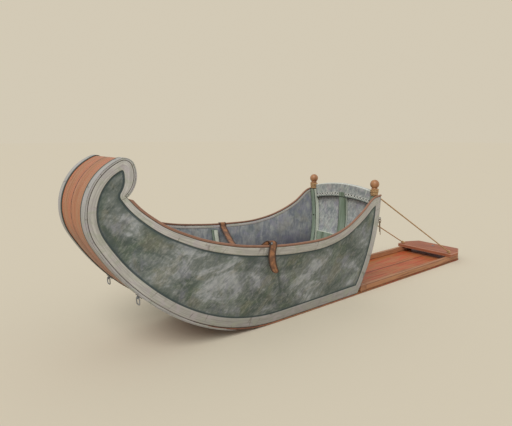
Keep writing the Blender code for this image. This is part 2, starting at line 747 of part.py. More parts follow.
def build_stays(bar_front, bar_top, root):
    """Taut rope from a turn round each neck to a knot on the rear bar."""
    clear = (ROPE_RADIUS + GAP) * math.hypot(1.0, NECK_SLOPE)
    for word, side in SIDES:
        cx, cy = neck_centre(side)
        foot = Vector((bar_front + STAY_FOOT_INSET[0], side * (REAR_BAR_HALF - STAY_FOOT_INSET[1]),
                       bar_top + GAP + STAY_KNOT_RADIUS * KNOT_SEAT))
        points = []
        for turn in np.linspace(1.0, 0.0, 21):
            rise = ROPE_LOOP_HEIGHT + ROPE_LOOP_PITCH * turn
            ring, a = neck_radius(rise) + clear, -2 * math.pi * turn
            points.append(Vector((cx + ring * math.sin(a), cy - side * ring * math.cos(a),
                                  POST_TOP + GAP + rise)))
        start = points[-1]
        lean = (foot - start).normalized()
        end = foot - lean * (STAY_KNOT_RADIUS + 2 * GAP)
        points += [start + (end - start) * t for t in (0.02, 0.25, 0.5, 0.75, 1.0)]
        tube_object(f"stay_rope_{word}", points, ROPE_RADIUS, "rope", root)
        profile = [(STAY_KNOT_RADIUS * math.sin(a), STAY_KNOT_RADIUS * math.cos(a))
                   for a in np.linspace(math.acos(-KNOT_SEAT), 0.15, 8)]
        turned(f"stay_knot_{word}", foot, profile, "rope", root, 14)


def torus_rings(centre, radius, wire, turns, sides, normal="y"):
    """Rings of a torus whose axis runs along y or along x."""
    rings = []
    for a in np.linspace(0.0, 2 * math.pi, turns, endpoint=False):
        ring = []
        for b in np.linspace(0.0, 2 * math.pi, sides, endpoint=False):
            r = radius + wire * math.cos(b)
            u, v, w = r * math.cos(a), r * math.sin(a), wire * math.sin(b)
            offset_by = (u, w, v) if normal == "y" else (w, u, v)
            ring.append(tuple(c + d for c, d in zip(centre, offset_by)))
        rings.append(ring)
    return rings


def helper(name, rings, finish, root, closed=False):
    """Shape that is only joined to or cut from another piece."""
    obj = loft(name, rings, finish, root, closed)
    obj.hide_render = True
    obj.display_type = "WIRE"
    return obj


def combine(obj, other, operation):
    mod = obj.modifiers.new(other.name, "BOOLEAN")
    mod.operation = operation
    mod.object = other


def rod_rings(start, end, radius, sides, along):
    """Two rings of a straight rod along x or y."""
    rings = []
    for place in (start, end):
        ring = []
        for a in np.linspace(0.0, 2 * math.pi, sides, endpoint=False):
            u, v = radius * math.cos(a), radius * math.sin(a)
            shift = (0.0, u, v) if along == "x" else (u, 0.0, v)
            ring.append(tuple(c + d for c, d in zip(place, shift)))
        rings.append(ring)
    return rings


def build_eyes(root):
    """Ring bolts into the posts from behind, with a foot plate on the back panel."""
    z = EYE_HEIGHT
    plate = back_edge(z) - BACK_PANEL_SET + PLATE_FIT
    centres = []
    for word, side in SIDES:
        y = side * (inner_half(z) - EYE_INSET)
        centre = (plate + EYE_PLATE_THICK + EYE_SHANK + EYE_RADIUS, y, z)
        eye = loft(f"eye_bolt_{word}", torus_rings(centre, EYE_RADIUS, EYE_WIRE, 20, 8),
                   "iron", root, True)
        shank = helper(f"eye_shank_{word}", rod_rings(
            (plate + EYE_PLATE_THICK / 2, y, z), (centre[0] - EYE_RADIUS, y, z), EYE_WIRE * 1.05, 10, "x"),
            "iron", root)
        foot = helper(f"eye_plate_{word}", rod_rings(
            (plate, y, z), (plate + EYE_PLATE_THICK, y, z), EYE_PLATE_RADIUS, 16, "x"), "iron", root)
        combine(eye, shank, "UNION")
        combine(eye, foot, "UNION")
        centres.append(centre)
    return centres


def build_thong(eye, root):
    """Short hide thong looped through the left eye, knotted, with two loose tails."""
    x, y, z = eye
    wire = z - EYE_RADIUS
    link = (x, y, wire + EYE_WIRE + THONG_LINK_FIT - (THONG_LINK_RADIUS - THONG_RADIUS))
    loop = loft("thong_loop", torus_rings(link, THONG_LINK_RADIUS, THONG_RADIUS, 16, 8, "x"),
                "leather", root, True)
    knot_z = link[2] - THONG_LINK_RADIUS - THONG_KNOT_RADIUS * 0.6
    rings = []
    for a in np.linspace(math.radians(150), math.radians(12), 8):
        r, level = THONG_KNOT_RADIUS * math.sin(a), knot_z + THONG_KNOT_RADIUS * math.cos(a)
        rings.append([(x + r * math.cos(b), y + r * math.sin(b), level)
                      for b in np.linspace(0.0, 2 * math.pi, 12, endpoint=False)])
    combine(loop, helper("thong_knot_ball", rings, "leather", root), "UNION")
    bottom = knot_z - THONG_KNOT_RADIUS * math.cos(math.radians(30)) - GAP
    for k, route in enumerate(THONG_TAILS, start=1):
        points = smooth_run([(x + dx, y + dy, bottom - dz) for dx, dy, dz in route], 18)
        tube_object(f"thong_tail_{k}", points, THONG_RADIUS, "leather", root)


def smooth_run(points, count):
    """Evenly spaced points on a smooth curve through a few given ones."""
    p = np.array(points, dtype=float)
    s = run_lengths(points)
    slopes = np.gradient(p, s, axis=0)
    result = []
    for place in np.linspace(0.0, s[-1], count):
        k = int(min(len(s) - 2, np.searchsorted(s, place, side="right") - 1))
        step = s[k + 1] - s[k]
        t = (place - s[k]) / step
        result.append(tuple(p[k] * (2 * t ** 3 - 3 * t ** 2 + 1) + p[k + 1] * (3 * t ** 2 - 2 * t ** 3)
                            + slopes[k] * step * (t ** 3 - 2 * t ** 2 + t)
                            + slopes[k + 1] * step * (t ** 3 - t ** 2)))
    return result


def rail_section(side):
    """Middle of the rail under the strap: place along the sled, half width and top height."""
    middle = half_width(-STRAP_PLACE, side_row(share_at(-STRAP_PLACE))[2])
    x = -STRAP_PLACE + STRAP_SLANT * side * middle
    height = float(side_row(share_at(x))[2])
    return x, half_width(x, height), height + GAP + RAIL_HEIGHT


def strap_path():
    """Middle line of the strap: up outside the far rail, slack between the rails, down outside."""
    near, far = (np.array(rail_section(side)) for side in (-1.0, 1.0))
    clear = STRAP_FIT + STRAP_THICK / 2
    path = []
    for side, (x, half, top), tail in ((1.0, far, STRAP_TAIL_FAR), (-1.0, near, STRAP_TAIL_NEAR)):
        outer, inner = half - RAIL_INSET + RAIL_WIDTH + clear, half - RAIL_INSET - clear
        run = [(outer, top - tail * k / 6) for k in range(6, 0, -1)]
        run += [(outer, top - 0.004), (outer - 0.002, top + clear * 0.75), (half, top + clear + STRAP_FIT),
                (inner + 0.001, top + clear * 0.75), (inner - 0.001, top - 0.004),
                (inner - 0.003, top - STRAP_DIP)]
        run = [(x, side * y, z) for y, z in run]
        path += run if side > 0 else list(reversed(run))
        if side > 0:
            start, end = np.array(run[-1]), near * (1.0, -1.0, 1.0)
            end += (0.0, RAIL_INSET + clear + 0.003, -STRAP_DIP)
            for t in spread(0.0, 1.0, 14)[:-1]:
                sag = STRAP_SAG * (1.0 - (2 * t - 1) ** 2)
                path.append(tuple(start + (end - start) * t - (0.0, 0.0, sag)))
    return path, far[1]


def build_strap(root):
    """Leather strap over both rails, slack between them, its ends hanging outside."""
    path, far_half = strap_path()
    spine = np.array(path)
    run = np.gradient(spine, axis=0)
    run[:, 0] = 0.0
    run /= np.linalg.norm(run, axis=1)[:, None]
    normals = np.stack((np.zeros(len(run)), -run[:, 2], run[:, 1]), axis=1)
    step = 0.01
    rings = []
    for k, (point, normal) in enumerate(zip(spine, normals)):
        share = np.clip(point[1] / far_half, -1.0, 1.0)
        x = point[0]
        slope_z = (side_row(share_at(x + step))[2] - side_row(share_at(x - step))[2]) / (2 * step)
        slope_y = (side_row(share_at(x + step))[1] - side_row(share_at(x - step))[1]) / (2 * step)
        across = np.array((1.0, slope_y * share, slope_z))
        narrow = 0.55 if k in (0, len(spine) - 1) else 0.9 if k in (1, len(spine) - 2) else 1.0
        half = across * STRAP_WIDTH / 2 * narrow
        lift = normal * STRAP_THICK / 2
        rings.append([tuple(point - half - lift), tuple(point + half - lift),
                      tuple(point + half + lift), tuple(point - half + lift)])
    loft("lap_strap", rings, "leather", root)


def build_hitches(root):
    """D-shaped draught rings, each swinging in a keeper on the bow's underside."""
    station = bow_station(HITCH_HEADING)
    a = math.radians(HITCH_HEADING)
    along, out = (-math.cos(a), math.sin(a)), (-math.sin(a), -math.cos(a))
    surface = offset(station, -GAP - EDGE_STRIP_THICK - PLATE_FIT)
    reach = HITCH_PAD[1] + HITCH_BARREL * 0.8
    axis = (surface[0] + out[0] * reach, surface[1] + out[1] * reach)
    y_mid = half_width(station.x, station.z) + BOARD_LIP - EDGE_STRIP_WIDTH / 2
    half = HITCH_KEEPER_WIDTH / 2
    for word, side in SIDES:
        y = side * y_mid
        pad = [(surface[0] + along[0] * u * HITCH_PAD[0] + out[0] * v * HITCH_PAD[1],
                surface[1] + along[1] * u * HITCH_PAD[0] + out[1] * v * HITCH_PAD[1])
               for u, v in ((-0.5, 0.0), (0.5, 0.0), (0.5, 1.0), (-0.5, 1.0))]
        keeper = loft(f"hitch_keeper_{word}", [[(u, y + w, v) for u, v in pad] for w in (-half, half)],
                      "iron", root)
        centre = (axis[0], y, axis[1])
        reach = half - PLATE_FIT
        barrel = helper(f"hitch_barrel_{word}", rod_rings((axis[0], y - reach, axis[1]),
                        (axis[0], y + reach, axis[1]), HITCH_BARREL, 16, "y"), "iron", root)
        bore = helper(f"hitch_bore_{word}", rod_rings((axis[0], y - half * 2, axis[1]),
                      (axis[0], y + half * 2, axis[1]), HITCH_BORE, 16, "y"), "iron", root)
        combine(keeper, barrel, "UNION")
        combine(keeper, bore, "DIFFERENCE")
        ring = loft(f"hitch_ring_{word}", hitch_ring_rings(), "iron", root, True)
        ring.location = centre
    return (axis[0], y_mid, axis[1])


def hitch_ring_rings():
    """Rings of a closed wire loop: a rounded rectangle that hangs from its upper side."""
    w, d, c = HITCH_RING_WIDTH / 2, HITCH_RING_DROP, HITCH_RING_CORNER
    path = []
    for cy, cz, start in ((w - c, -c, 90), (w - c, -d + c, 0), (-w + c, -d + c, -90), (-w + c, -c, -180)):
        for k in range(6):
            a = math.radians(start - 90 * k / 5)
            path.append((cy + c * math.cos(a), cz + c * math.sin(a)))
    p = np.array(path)
    run = np.roll(p, -1, axis=0) - np.roll(p, 1, axis=0)
    run /= np.linalg.norm(run, axis=1)[:, None]
    rings = []
    for (y, z), (ty, tz) in zip(p, run):
        rings.append([(HITCH_WIRE * math.sin(b), y - tz * HITCH_WIRE * math.cos(b),
                       z + ty * HITCH_WIRE * math.cos(b))
                      for b in np.linspace(0.0, 2 * math.pi, 8, endpoint=False)])
    return rings


def main():
    clear_scene()
    front = min(offset(s, -GAP - EDGE_STRIP_THICK)[0] for s in LOWER_RUN + SCROLL_OUT)
    rear = TAIL_LENGTH + REAR_BAR_OVERHANG
    root = bpy.data.objects.new("sled", None)
    root.location = (-(front + rear) / 2, 0.0, 0.0)
    bpy.context.scene.collection.objects.link(root)
    build_boards(root)
    build_sides(root)
    build_bars(root)
    build_back(root)
    build_ribs(root)
    bar_front, bar_top = build_deck(root)
    build_stays(bar_front, bar_top, root)
    eyes = build_eyes(root)
    build_thong(eyes[0], root)
    build_strap(root)
    axis = build_hitches(root)
    print("shift", [round(v, 5) for v in root.location])
    print("hitch axis in the sled's own frame", [round(v, 5) for v in axis])


main()
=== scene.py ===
"""Curled-bow dog sled: the finish of every surface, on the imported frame.

Metres, +Z up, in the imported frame.  The bow points to -X and the sled's left side is -Y.
Shapes are worked out in the sled's own frame, whose x = 0 is the foot of the back, and
are moved by SHIFT as they become pieces.
"""
# %% [markdown]
# The sled is loaded as model.glb holds it: every wooden, leather and iron part is already in its
# place. Nothing made here may make the sled larger.

# %% Load the imported sled
import math

import bmesh
import bpy
import numpy as np
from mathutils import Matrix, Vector


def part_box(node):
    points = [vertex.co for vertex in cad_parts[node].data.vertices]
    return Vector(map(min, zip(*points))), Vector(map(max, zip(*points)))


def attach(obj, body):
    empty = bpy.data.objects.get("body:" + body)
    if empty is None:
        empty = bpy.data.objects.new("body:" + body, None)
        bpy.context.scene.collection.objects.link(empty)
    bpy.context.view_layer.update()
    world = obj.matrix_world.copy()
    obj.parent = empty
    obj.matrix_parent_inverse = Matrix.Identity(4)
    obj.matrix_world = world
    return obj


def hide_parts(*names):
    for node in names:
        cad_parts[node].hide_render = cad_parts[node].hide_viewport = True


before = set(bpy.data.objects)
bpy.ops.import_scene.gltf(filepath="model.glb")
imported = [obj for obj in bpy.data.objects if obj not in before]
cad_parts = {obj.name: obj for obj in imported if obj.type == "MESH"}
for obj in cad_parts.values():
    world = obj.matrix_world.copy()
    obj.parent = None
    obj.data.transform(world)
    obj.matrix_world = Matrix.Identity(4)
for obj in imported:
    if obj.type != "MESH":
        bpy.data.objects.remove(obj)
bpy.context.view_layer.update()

# %% [markdown]
# The picture was drawn from ahead of the sled and to its left, a little above it, with the bow
# near and the tail deck far. The camera stands where a fit of the sled's main points puts it.
# A focal length of 442 pixels on a picture 512 pixels wide is turned into millimetres of lens.

# %% Camera
FOCAL_PIXELS = 442.0
PICTURE_WIDTH = 512.0
SENSOR_WIDTH = 36.0
CAMERA_PLACE = (-1.880, -1.780, 0.920)
CAMERA_PITCH = 80.1         # degrees up from straight down
CAMERA_HEADING = -38.5      # degrees, anticlockwise from +Y seen from above

lens = bpy.data.cameras.new("studio_camera")
lens.sensor_width = SENSOR_WIDTH
lens.lens = FOCAL_PIXELS / PICTURE_WIDTH * SENSOR_WIDTH
lens.clip_end = 300.0
camera = bpy.data.objects.new("studio_camera", lens)
camera.location = CAMERA_PLACE
camera.rotation_euler = (math.radians(CAMERA_PITCH), 0.0, math.radians(CAMERA_HEADING))
bpy.context.scene.collection.objects.link(camera)
bpy.context.scene.camera = camera
print("lens", round(lens.lens, 2), "mm")

# %% [markdown]
# A finish is a small tree of nodes. Writing every node out by name would bury the idea, so one
# helper holds a material under construction and gives each kind of node a short call: noise for
# irregular tones, ease for turning a range of tones into a mask, mix for laying one colour over
# another, and bump for relief that is too fine to model.

# %% A short way to write materials


class Finish:
    """One material, built from the shader outwards."""

    def __init__(self, name, colour, roughness, metallic=0.0):
        self.material = bpy.data.materials.new(name)
        self.material.use_nodes = True
        self.tree = self.material.node_tree
        self.shader = self.tree.nodes["Principled BSDF"]
        self.shader.inputs["Base Color"].default_value = (*colour, 1.0)
        self.shader.inputs["Roughness"].default_value = roughness
        self.shader.inputs["Metallic"].default_value = metallic

    def feed(self, socket, value):
        """A number or colour is set on the socket, and another node's output is linked to it."""
        if isinstance(value, bpy.types.NodeSocket):
            self.tree.links.new(value, socket)
        elif socket.type == "RGBA":
            socket.default_value = (*value, 1.0)
        else:
            socket.default_value = value

    def node(self, kind, inputs, **settings):
        """A shader node with its settings, its inputs fed by name."""
        made = self.tree.nodes.new("ShaderNode" + kind)
        for key, value in settings.items():
            setattr(made, key, value)
        for key, value in inputs.items():
            self.feed(made.inputs[key], value)
        return made

    def place(self, size=(1.0, 1.0, 1.0), turn=(0.0, 0.0, 0.0), source="Object"):
        """Coordinates turned to a pattern's own axes and measured in units of its size there."""
        where = self.node("TexCoord", {}).outputs[source]
        moved = self.node("Mapping", {"Vector": where, "Scale": size, "Rotation": turn},
                          vector_type="TEXTURE")
        return moved.outputs["Vector"]

    def height(self):
        """Height above the floor, in metres."""
        return self.node("SeparateXYZ", {"Vector": self.place()}).outputs["Z"]

    def attribute(self, name):
        """A number that each point of the mesh carries."""
        return self.node("Attribute", {}, attribute_name=name).outputs["Fac"]

    def noise(self, size, detail=3.0, rough=0.55, warp=0.0, turn=(0.0, 0.0, 0.0), source="Object"):
        """Noise around 0.5 whose patches measure about this size in metres along each axis."""
        size = size if isinstance(size, tuple) else (size, size, size)
        made = self.node("TexNoise", {"Vector": self.place(size, turn, source), "Scale": 1.0,
                                      "Detail": detail, "Roughness": rough, "Distortion": warp})
        return made.outputs["Fac"]

    def ease(self, value, low, high, bottom=0.0, top=1.0):
        """Smooth step from low to high, as a mask or as a number between bottom and top."""
        made = self.node("MapRange", {"Value": value, "From Min": low, "From Max": high,
                                      "To Min": bottom, "To Max": top},
                         interpolation_type="SMOOTHSTEP")
        return made.outputs["Result"]

    def math(self, operation, a, b=0.0):
        """One operation on two numbers, or on the first alone."""
        made = self.tree.nodes.new("ShaderNodeMath")
        made.operation = operation
        self.feed(made.inputs[0], a)
        self.feed(made.inputs[1], b)
        return made.outputs[0]

    def mix(self, share, first, second, blend="MIX"):
        """Two colours mixed: first where share is 0, second where it is 1."""
        made = self.tree.nodes.new("ShaderNodeMix")
        made.data_type = "RGBA"
        made.blend_type = blend
        self.feed(made.inputs[0], share)
        self.feed(made.inputs[6], first)
        self.feed(made.inputs[7], second)
        return made.outputs[2]

    def colour(self, value):
        """The surface's own colour."""
        self.feed(self.shader.inputs["Base Color"], value)

    def roughness(self, value):
        """0 for a mirror, 1 for chalk."""
        self.feed(self.shader.inputs["Roughness"], value)

    def bump(self, height, distance, strength=1.0):
        """Relief of this height in metres, laid over any relief that was given before."""
        inputs = {"Height": height, "Distance": distance, "Strength": strength}
        if self.shader.inputs["Normal"].is_linked:
            inputs["Normal"] = self.shader.inputs["Normal"].links[0].from_socket
        made = self.node("Bump", inputs)
        self.feed(self.shader.inputs["Normal"], made.outputs["Normal"])


print("finish helper ready")

# %% [markdown]
# The sled stands on a pale floor under an even sky, with one broad, soft lamp from ahead of its
# left side and above, so that the bow and the back are the lighter ones, as in the picture. The
# light adds up to about one on the floor, so a colour renders about as it is written. Beyond the
# floor the camera sees the same cream, which the floor's colour times the light on it gives.

# %% Floor, light and background
PAPER = (0.640, 0.578, 0.458)
SKY_LEVEL = 0.60
SKY_TINT = (1.0, 0.985, 0.955)
KEY_DIRECTION = np.array((-0.64, -0.52, 0.92))      # towards the lamp
KEY_SHARE = 0.56            # what the lamp adds on a surface that faces it
KEY_SOFTNESS = 34.0         # the lamp's width in degrees
FLOOR_HALF = 60.0

key_direction = KEY_DIRECTION / np.linalg.norm(KEY_DIRECTION)
floor_light = SKY_LEVEL + KEY_SHARE * key_direction[2]

floor_mesh = bpy.data.meshes.new("studio_floor")
floor_mesh.from_pydata([(-FLOOR_HALF, -FLOOR_HALF, 0.0), (FLOOR_HALF, -FLOOR_HALF, 0.0),
                        (FLOOR_HALF, FLOOR_HALF, 0.0), (-FLOOR_HALF, FLOOR_HALF, 0.0)],
                       [], [(0, 1, 2, 3)])
studio_floor = bpy.data.objects.new("studio_floor", floor_mesh)
bpy.context.scene.collection.objects.link(studio_floor)
floor_finish = Finish("studio_floor", PAPER, 1.0)
floor_finish.shader.inputs["Specular IOR Level"].default_value = 0.0
floor_mesh.materials.append(floor_finish.material)

sun = bpy.data.lights.new("key_light", "SUN")
sun.energy = KEY_SHARE * math.pi
sun.angle = math.radians(KEY_SOFTNESS)
key_light = bpy.data.objects.new("key_light", sun)
key_light.rotation_mode = "QUATERNION"
key_light.rotation_quaternion = Vector(key_direction).to_track_quat("Z", "Y")
bpy.context.scene.collection.objects.link(key_light)

world = bpy.data.worlds.new("studio_world")
bpy.context.scene.world = world
world.use_nodes = True
sky = world.node_tree.nodes["Background"]
sky.inputs["Color"].default_value = (*SKY_TINT, 1.0)
sky.inputs["Strength"].default_value = SKY_LEVEL
paper = world.node_tree.nodes.new("ShaderNodeBackground")
paper.inputs["Color"].default_value = (*(c * floor_light for c in PAPER), 1.0)
seen = world.node_tree.nodes.new("ShaderNodeLightPath")
either = world.node_tree.nodes.new("ShaderNodeMixShader")
links = world.node_tree.links
links.new(seen.outputs["Is Camera Ray"], either.inputs["Fac"])
links.new(sky.outputs["Background"], either.inputs[1])
links.new(paper.outputs["Background"], either.inputs[2])
links.new(either.outputs["Shader"], world.node_tree.nodes["World Output"].inputs["Surface"])

bpy.context.scene.view_settings.view_transform = "Standard"
print("light on the floor", round(floor_light, 2))

# %% [markdown]
# All the sled's surfaces are written the same way: a numpy array of points in rows and columns,
# where a row is a station along the piece and the columns go across it or round it. One helper
# turns such a grid into a mesh, merges what coincides, points the faces outwards, gives every
# point its place on the piece in metres for the grain, and rides it on its body.

# %% Grids of points made into pieces
MERGE = 1e-6                # points closer than this become one
SHARP_FROM = 48.0           # degrees between two faces from which their edge stays sharp


def grid_faces(rows, columns, looped):
    """Four corners of every cell. The last column joins the first, and looped joins the rows too."""
    i, j = np.indices((rows if looped else rows - 1, columns))
    i, j = i.ravel(), j.ravel()
    a, b = i * columns, ((i + 1) % rows) * columns
    k = (j + 1) % columns
    return np.stack((a + j, b + j, b + k, a + k), axis=1)


def piece(name, points, finish, replaces=(), body="sled", along=None, across=None,
          looped=False, marks=None, second=None, second_cells=None, second_caps=False):
    """Mesh over one grid of points, or over a stack of equal grids.

    along and across are the UV in metres, and marks are named floats.  second is another
    finish for the cells that second_cells picks out, and for the end faces if second_caps.
    """
    shape = (-1, *points.shape[-3:-1])
    stack = points.reshape(*shape, 3)
    shape = stack.shape[:3]
    count, rows, columns = shape
    each = rows * columns
    starts = np.arange(count) * each
    one = grid_faces(rows, columns, looped)
    quads = (one[None] + starts[:, None, None]).reshape(-1, 4)
    faces = quads.tolist()
    if not looped:
        for start in starts:
            faces.append(list(range(start, start + columns)))
            faces.append(list(range(start + each - columns, start + each)))
    mesh = bpy.data.meshes.new(name)
    mesh.from_pydata((stack.reshape(-1, 3) + SHIFT).tolist(), [], faces)
    mesh.materials.append(finish.material)
    if second is not None:
        mesh.materials.append(second.material)
        chosen = np.full(len(faces), int(second_caps), dtype=np.int32)
        chosen[:len(quads)] = np.broadcast_to(second_cells, shape).reshape(-1)[quads[:, 0]]
        mesh.polygons.foreach_set("material_index", chosen)
    for word, values in (marks or {}).items():
        layer = mesh.attributes.new(word, "FLOAT", "POINT")
        layer.data.foreach_set("value", np.broadcast_to(values, shape).ravel().astype(np.float32))
    if along is not None:
        flat = np.stack([np.broadcast_to(v, shape).ravel() for v in (along, across)], axis=1)
        corner = np.empty(len(mesh.loops), dtype=np.int32)
        mesh.loops.foreach_get("vertex_index", corner)
        layer = mesh.uv_layers.new(name="metres")
        layer.data.foreach_set("uv", flat[corner].ravel().astype(np.float32))
    return finished(name, mesh, replaces, body)


def finished(name, mesh, replaces, body):
    """The mesh cleaned, smoothed up to the sharp angle and put on its body."""
    work = bmesh.new()
    work.from_mesh(mesh)
    bmesh.ops.remove_doubles(work, verts=work.verts, dist=MERGE)
    bmesh.ops.recalc_face_normals(work, faces=work.faces)
    work.to_mesh(mesh)
    work.free()
    mesh.shade_smooth()
    mesh.set_sharp_from_angle(angle=math.radians(SHARP_FROM))
    made = bpy.data.objects.new(name, mesh)
    bpy.context.scene.collection.objects.link(made)
    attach(made, body)
    if replaces:
        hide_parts(*replaces)
    print(f"{name}: {len(mesh.polygons)} faces")
    return made


def span(start, end, count):
    """Evenly spaced numbers from start to end, both included."""
    return np.linspace(start, end, count)


def turn_of(count):
    """Angles of a full turn in equal steps, without the repeated last one."""
    return span(0.0, 2 * np.pi, count + 1)[:-1]


print("grid helpers ready")

# %% [markdown]
# The boards are the sled's backbone. Their underside runs flat from the tail and then follows
# four arcs, up, over and back down into the scroll. The heading of each arc's end is known, so the
# line is found by adding up small steps along the heading. Everything that sits on the boards is
# then placed by its distance along this line.

# %% Line of the boards
TAIL_LENGTH = 1.230         # from the back's foot to the boards' rear end
FLAT_LENGTH = 0.620
REAR_BAR_OVERHANG = 0.038
BOW_ARCS = (                # radius in metres and turn in degrees
    (0.980, 61.5), (0.229, 96.9), (0.030, 93.5), (0.133, 57.2),
)
BOARD_THICK = 0.010
CURL_THICK = 0.0055
GAP = 0.0003
LIP = 0.0028                # how far the boards stand out past the hide
FLOOR = BOARD_THICK + GAP   # where pieces stand on the flat boards
FINE_STEPS = 12000          # of the line, which is added up from one to the next

arc_radius, arc_turn = np.array(BOW_ARCS).T
run_knots = np.concatenate(([0.0, TAIL_LENGTH + FLAT_LENGTH], arc_radius * np.radians(arc_turn)))
run_knots = np.cumsum(run_knots)
heading_knots = np.concatenate(([0.0, 0.0], np.cumsum(arc_turn)))
RUN_END = run_knots[-1]

fine_run = span(0.0, RUN_END, FINE_STEPS + 1)
fine_heading = np.radians(np.interp(fine_run, run_knots, heading_knots))
half_step = fine_run[1] / 2
fine_x = TAIL_LENGTH - half_step * np.concatenate(
    ([0.0], np.cumsum(np.cos(fine_heading[1:]) + np.cos(fine_heading[:-1]))))
fine_z = half_step * np.concatenate(
    ([0.0], np.cumsum(np.sin(fine_heading[1:]) + np.sin(fine_heading[:-1]))))

SHIFT = np.array((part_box("deck_rear_bar")[1].x - TAIL_LENGTH - REAR_BAR_OVERHANG, 0.0, 0.0))


def run_at(heading):
    """Distance along the boards at which they head this many degrees up from forward."""
    return np.interp(heading, heading_knots[1:], run_knots[1:])


def heading_at(run):
    """Degrees up from forward at a distance along the boards."""
    return np.interp(run, run_knots, heading_knots)


def thickness_at(run):
    """The boards thin evenly from the flat to the tight curl."""
    tight = heading_knots[3]
    return BOARD_THICK + (CURL_THICK - BOARD_THICK) * np.minimum(1.0, heading_at(run) / tight)


def off_board(run, distance):
    """Point in the x-z plane at a distance inwards from the underside, square to it."""
    turn = np.radians(heading_at(run))
    x = np.interp(run, fine_run, fine_x) + distance * np.sin(turn)
    z = np.interp(run, fine_run, fine_z) + distance * np.cos(turn)
    return np.stack((x, z), axis=-1)


def on_board(run):
    """Point just off the boards' upper face."""
    return off_board(run, thickness_at(run) + GAP)


BROW_RUN = run_at(90.0)
APEX_RUN = run_at((heading_knots[3] + heading_knots[4]) / 2)
throat = on_board(RUN_END)
print("boards run", round(float(RUN_END), 3), "m, throat at", throat.round(3))

# %% [markdown]
# The sides lean outwards from the boards to a top edge that dips amidships and rises to both ends.
# A short table holds the section at twelve places, and cubic curves ease between its rows. The width
# at any height follows from the section, so a point of the side is known as soon as its place
# seen from the side is known. The back's rear edge leans back and bows forward again.

# %% Section of the sides
REAR_HEIGHT = 0.580
SIDE_TABLE = np.array((     # share of the length, half width below and above, height
    (0.000, 0.210, 0.262, REAR_HEIGHT),
    (0.040, 0.210, 0.263, 0.571),
    (0.110, 0.210, 0.268, 0.504),
    (0.213, 0.210, 0.286, 0.439),
    (0.316, 0.210, 0.300, 0.410),
    (0.454, 0.210, 0.309, 0.410),
    (0.591, 0.208, 0.308, 0.427),
    (0.729, 0.200, 0.292, 0.461),
    (0.845, 0.188, 0.262, 0.516),
    (0.935, 0.175, 0.222, 0.590),
    (0.975, 0.169, 0.190, 0.645),
    (1.000, 0.167, 0.167, float(throat[1])),
))
HIDE_THICK = 0.005
BACK_RAKE = 0.54
BACK_BOW = 0.58
REAR_EASE = 0.3             # share of the length over which the stations turn upright


def back_edge(z):
    """Rear edge of the sides at a height: a parabola."""
    return BACK_RAKE * z - BACK_BOW * z * z


side_slopes = np.gradient(SIDE_TABLE[:, 1:], SIDE_TABLE[:, 0], axis=0)
rear_top = np.array((back_edge(SIDE_TABLE[0, 3]), SIDE_TABLE[0, 3]))


def hermite(knots, rows, slopes, at):
    """Cubic curves through the rows of a table, with given slopes at its knots.

    (2t^3 - 3t^2 + 1) p + (t^3 - 2t^2 + t) s + (3t^2 - 2t^3) q + (t^3 - t^2) r between two rows
    p and q, where s and r are their slopes times the step.
    """
    k = np.clip(np.searchsorted(knots, at, side="right") - 1, 0, len(knots) - 2)
    step = knots[k + 1] - knots[k]
    t = ((at - knots[k]) / step)[..., None]
    step = step[..., None]
    return (rows[k] * (2 * t ** 3 - 3 * t ** 2 + 1) + slopes[k] * step * (t ** 3 - 2 * t ** 2 + t)
            + rows[k + 1] * (3 * t ** 2 - 2 * t ** 3) + slopes[k + 1] * step * (t ** 3 - t ** 2))


def side_row(share):
    """Base and top half width and top height at a share of the length."""
    return hermite(SIDE_TABLE[:, 0], SIDE_TABLE[:, 1:], side_slopes, np.clip(share, 0.0, 1.0))


def share_at(x):
    """Share of the sides' length, 0 at the back and 1 at the throat."""
    return (rear_top[0] - x) / (rear_top[0] - throat[0])


def half_width(x, z):
    """Half width of the hide's outer face, straight from the boards to the top edge."""
    base, top, height = np.moveaxis(side_row(share_at(np.asarray(x, dtype=float))), -1, 0)
    return base + (top - base) * z / height


def top_edge(share):
    """Point of the top edge in the x-z plane."""
    x = rear_top[0] + (throat[0] - rear_top[0]) * share
    return np.stack((x, side_row(share)[..., 2]), axis=-1)


def side_place(q, v):
    """Point of a side in the x-z plane.

    q runs from the back (0) to below the scroll's throat (1) and on into its tip (2), and
    v from the boards (0) to the top edge (1): a straight line between the two edges, whose
    rear ones are bent to the back's raked edge.
    """
    q, v = np.broadcast_arrays(np.asarray(q, dtype=float), np.asarray(v, dtype=float))
    fore, curl = np.clip(q, 0.0, 1.0), np.clip(q - 1.0, 0.0, 1.0)
    low = on_board(TAIL_LENGTH + (BROW_RUN - TAIL_LENGTH) * fore + (APEX_RUN - BROW_RUN) * curl)
    in_curl = on_board(RUN_END + (APEX_RUN - RUN_END) * curl)
    high = np.where(q[..., None] < 1.0, top_edge(fore), in_curl)
    place = low + (high - low) * v[..., None]
    bend = np.maximum(0.0, 1.0 - q / REAR_EASE) ** 2
    straight_z = FLOOR + (rear_top[1] - FLOOR) * v
    straight_x = rear_top[0] * v
    place[..., 0] += bend * (back_edge(straight_z) - straight_x)
    return place


amidships = float(2 * half_width(-0.7, 0.41))
print("rear top", rear_top.round(3), "width amidships", round(amidships, 3))
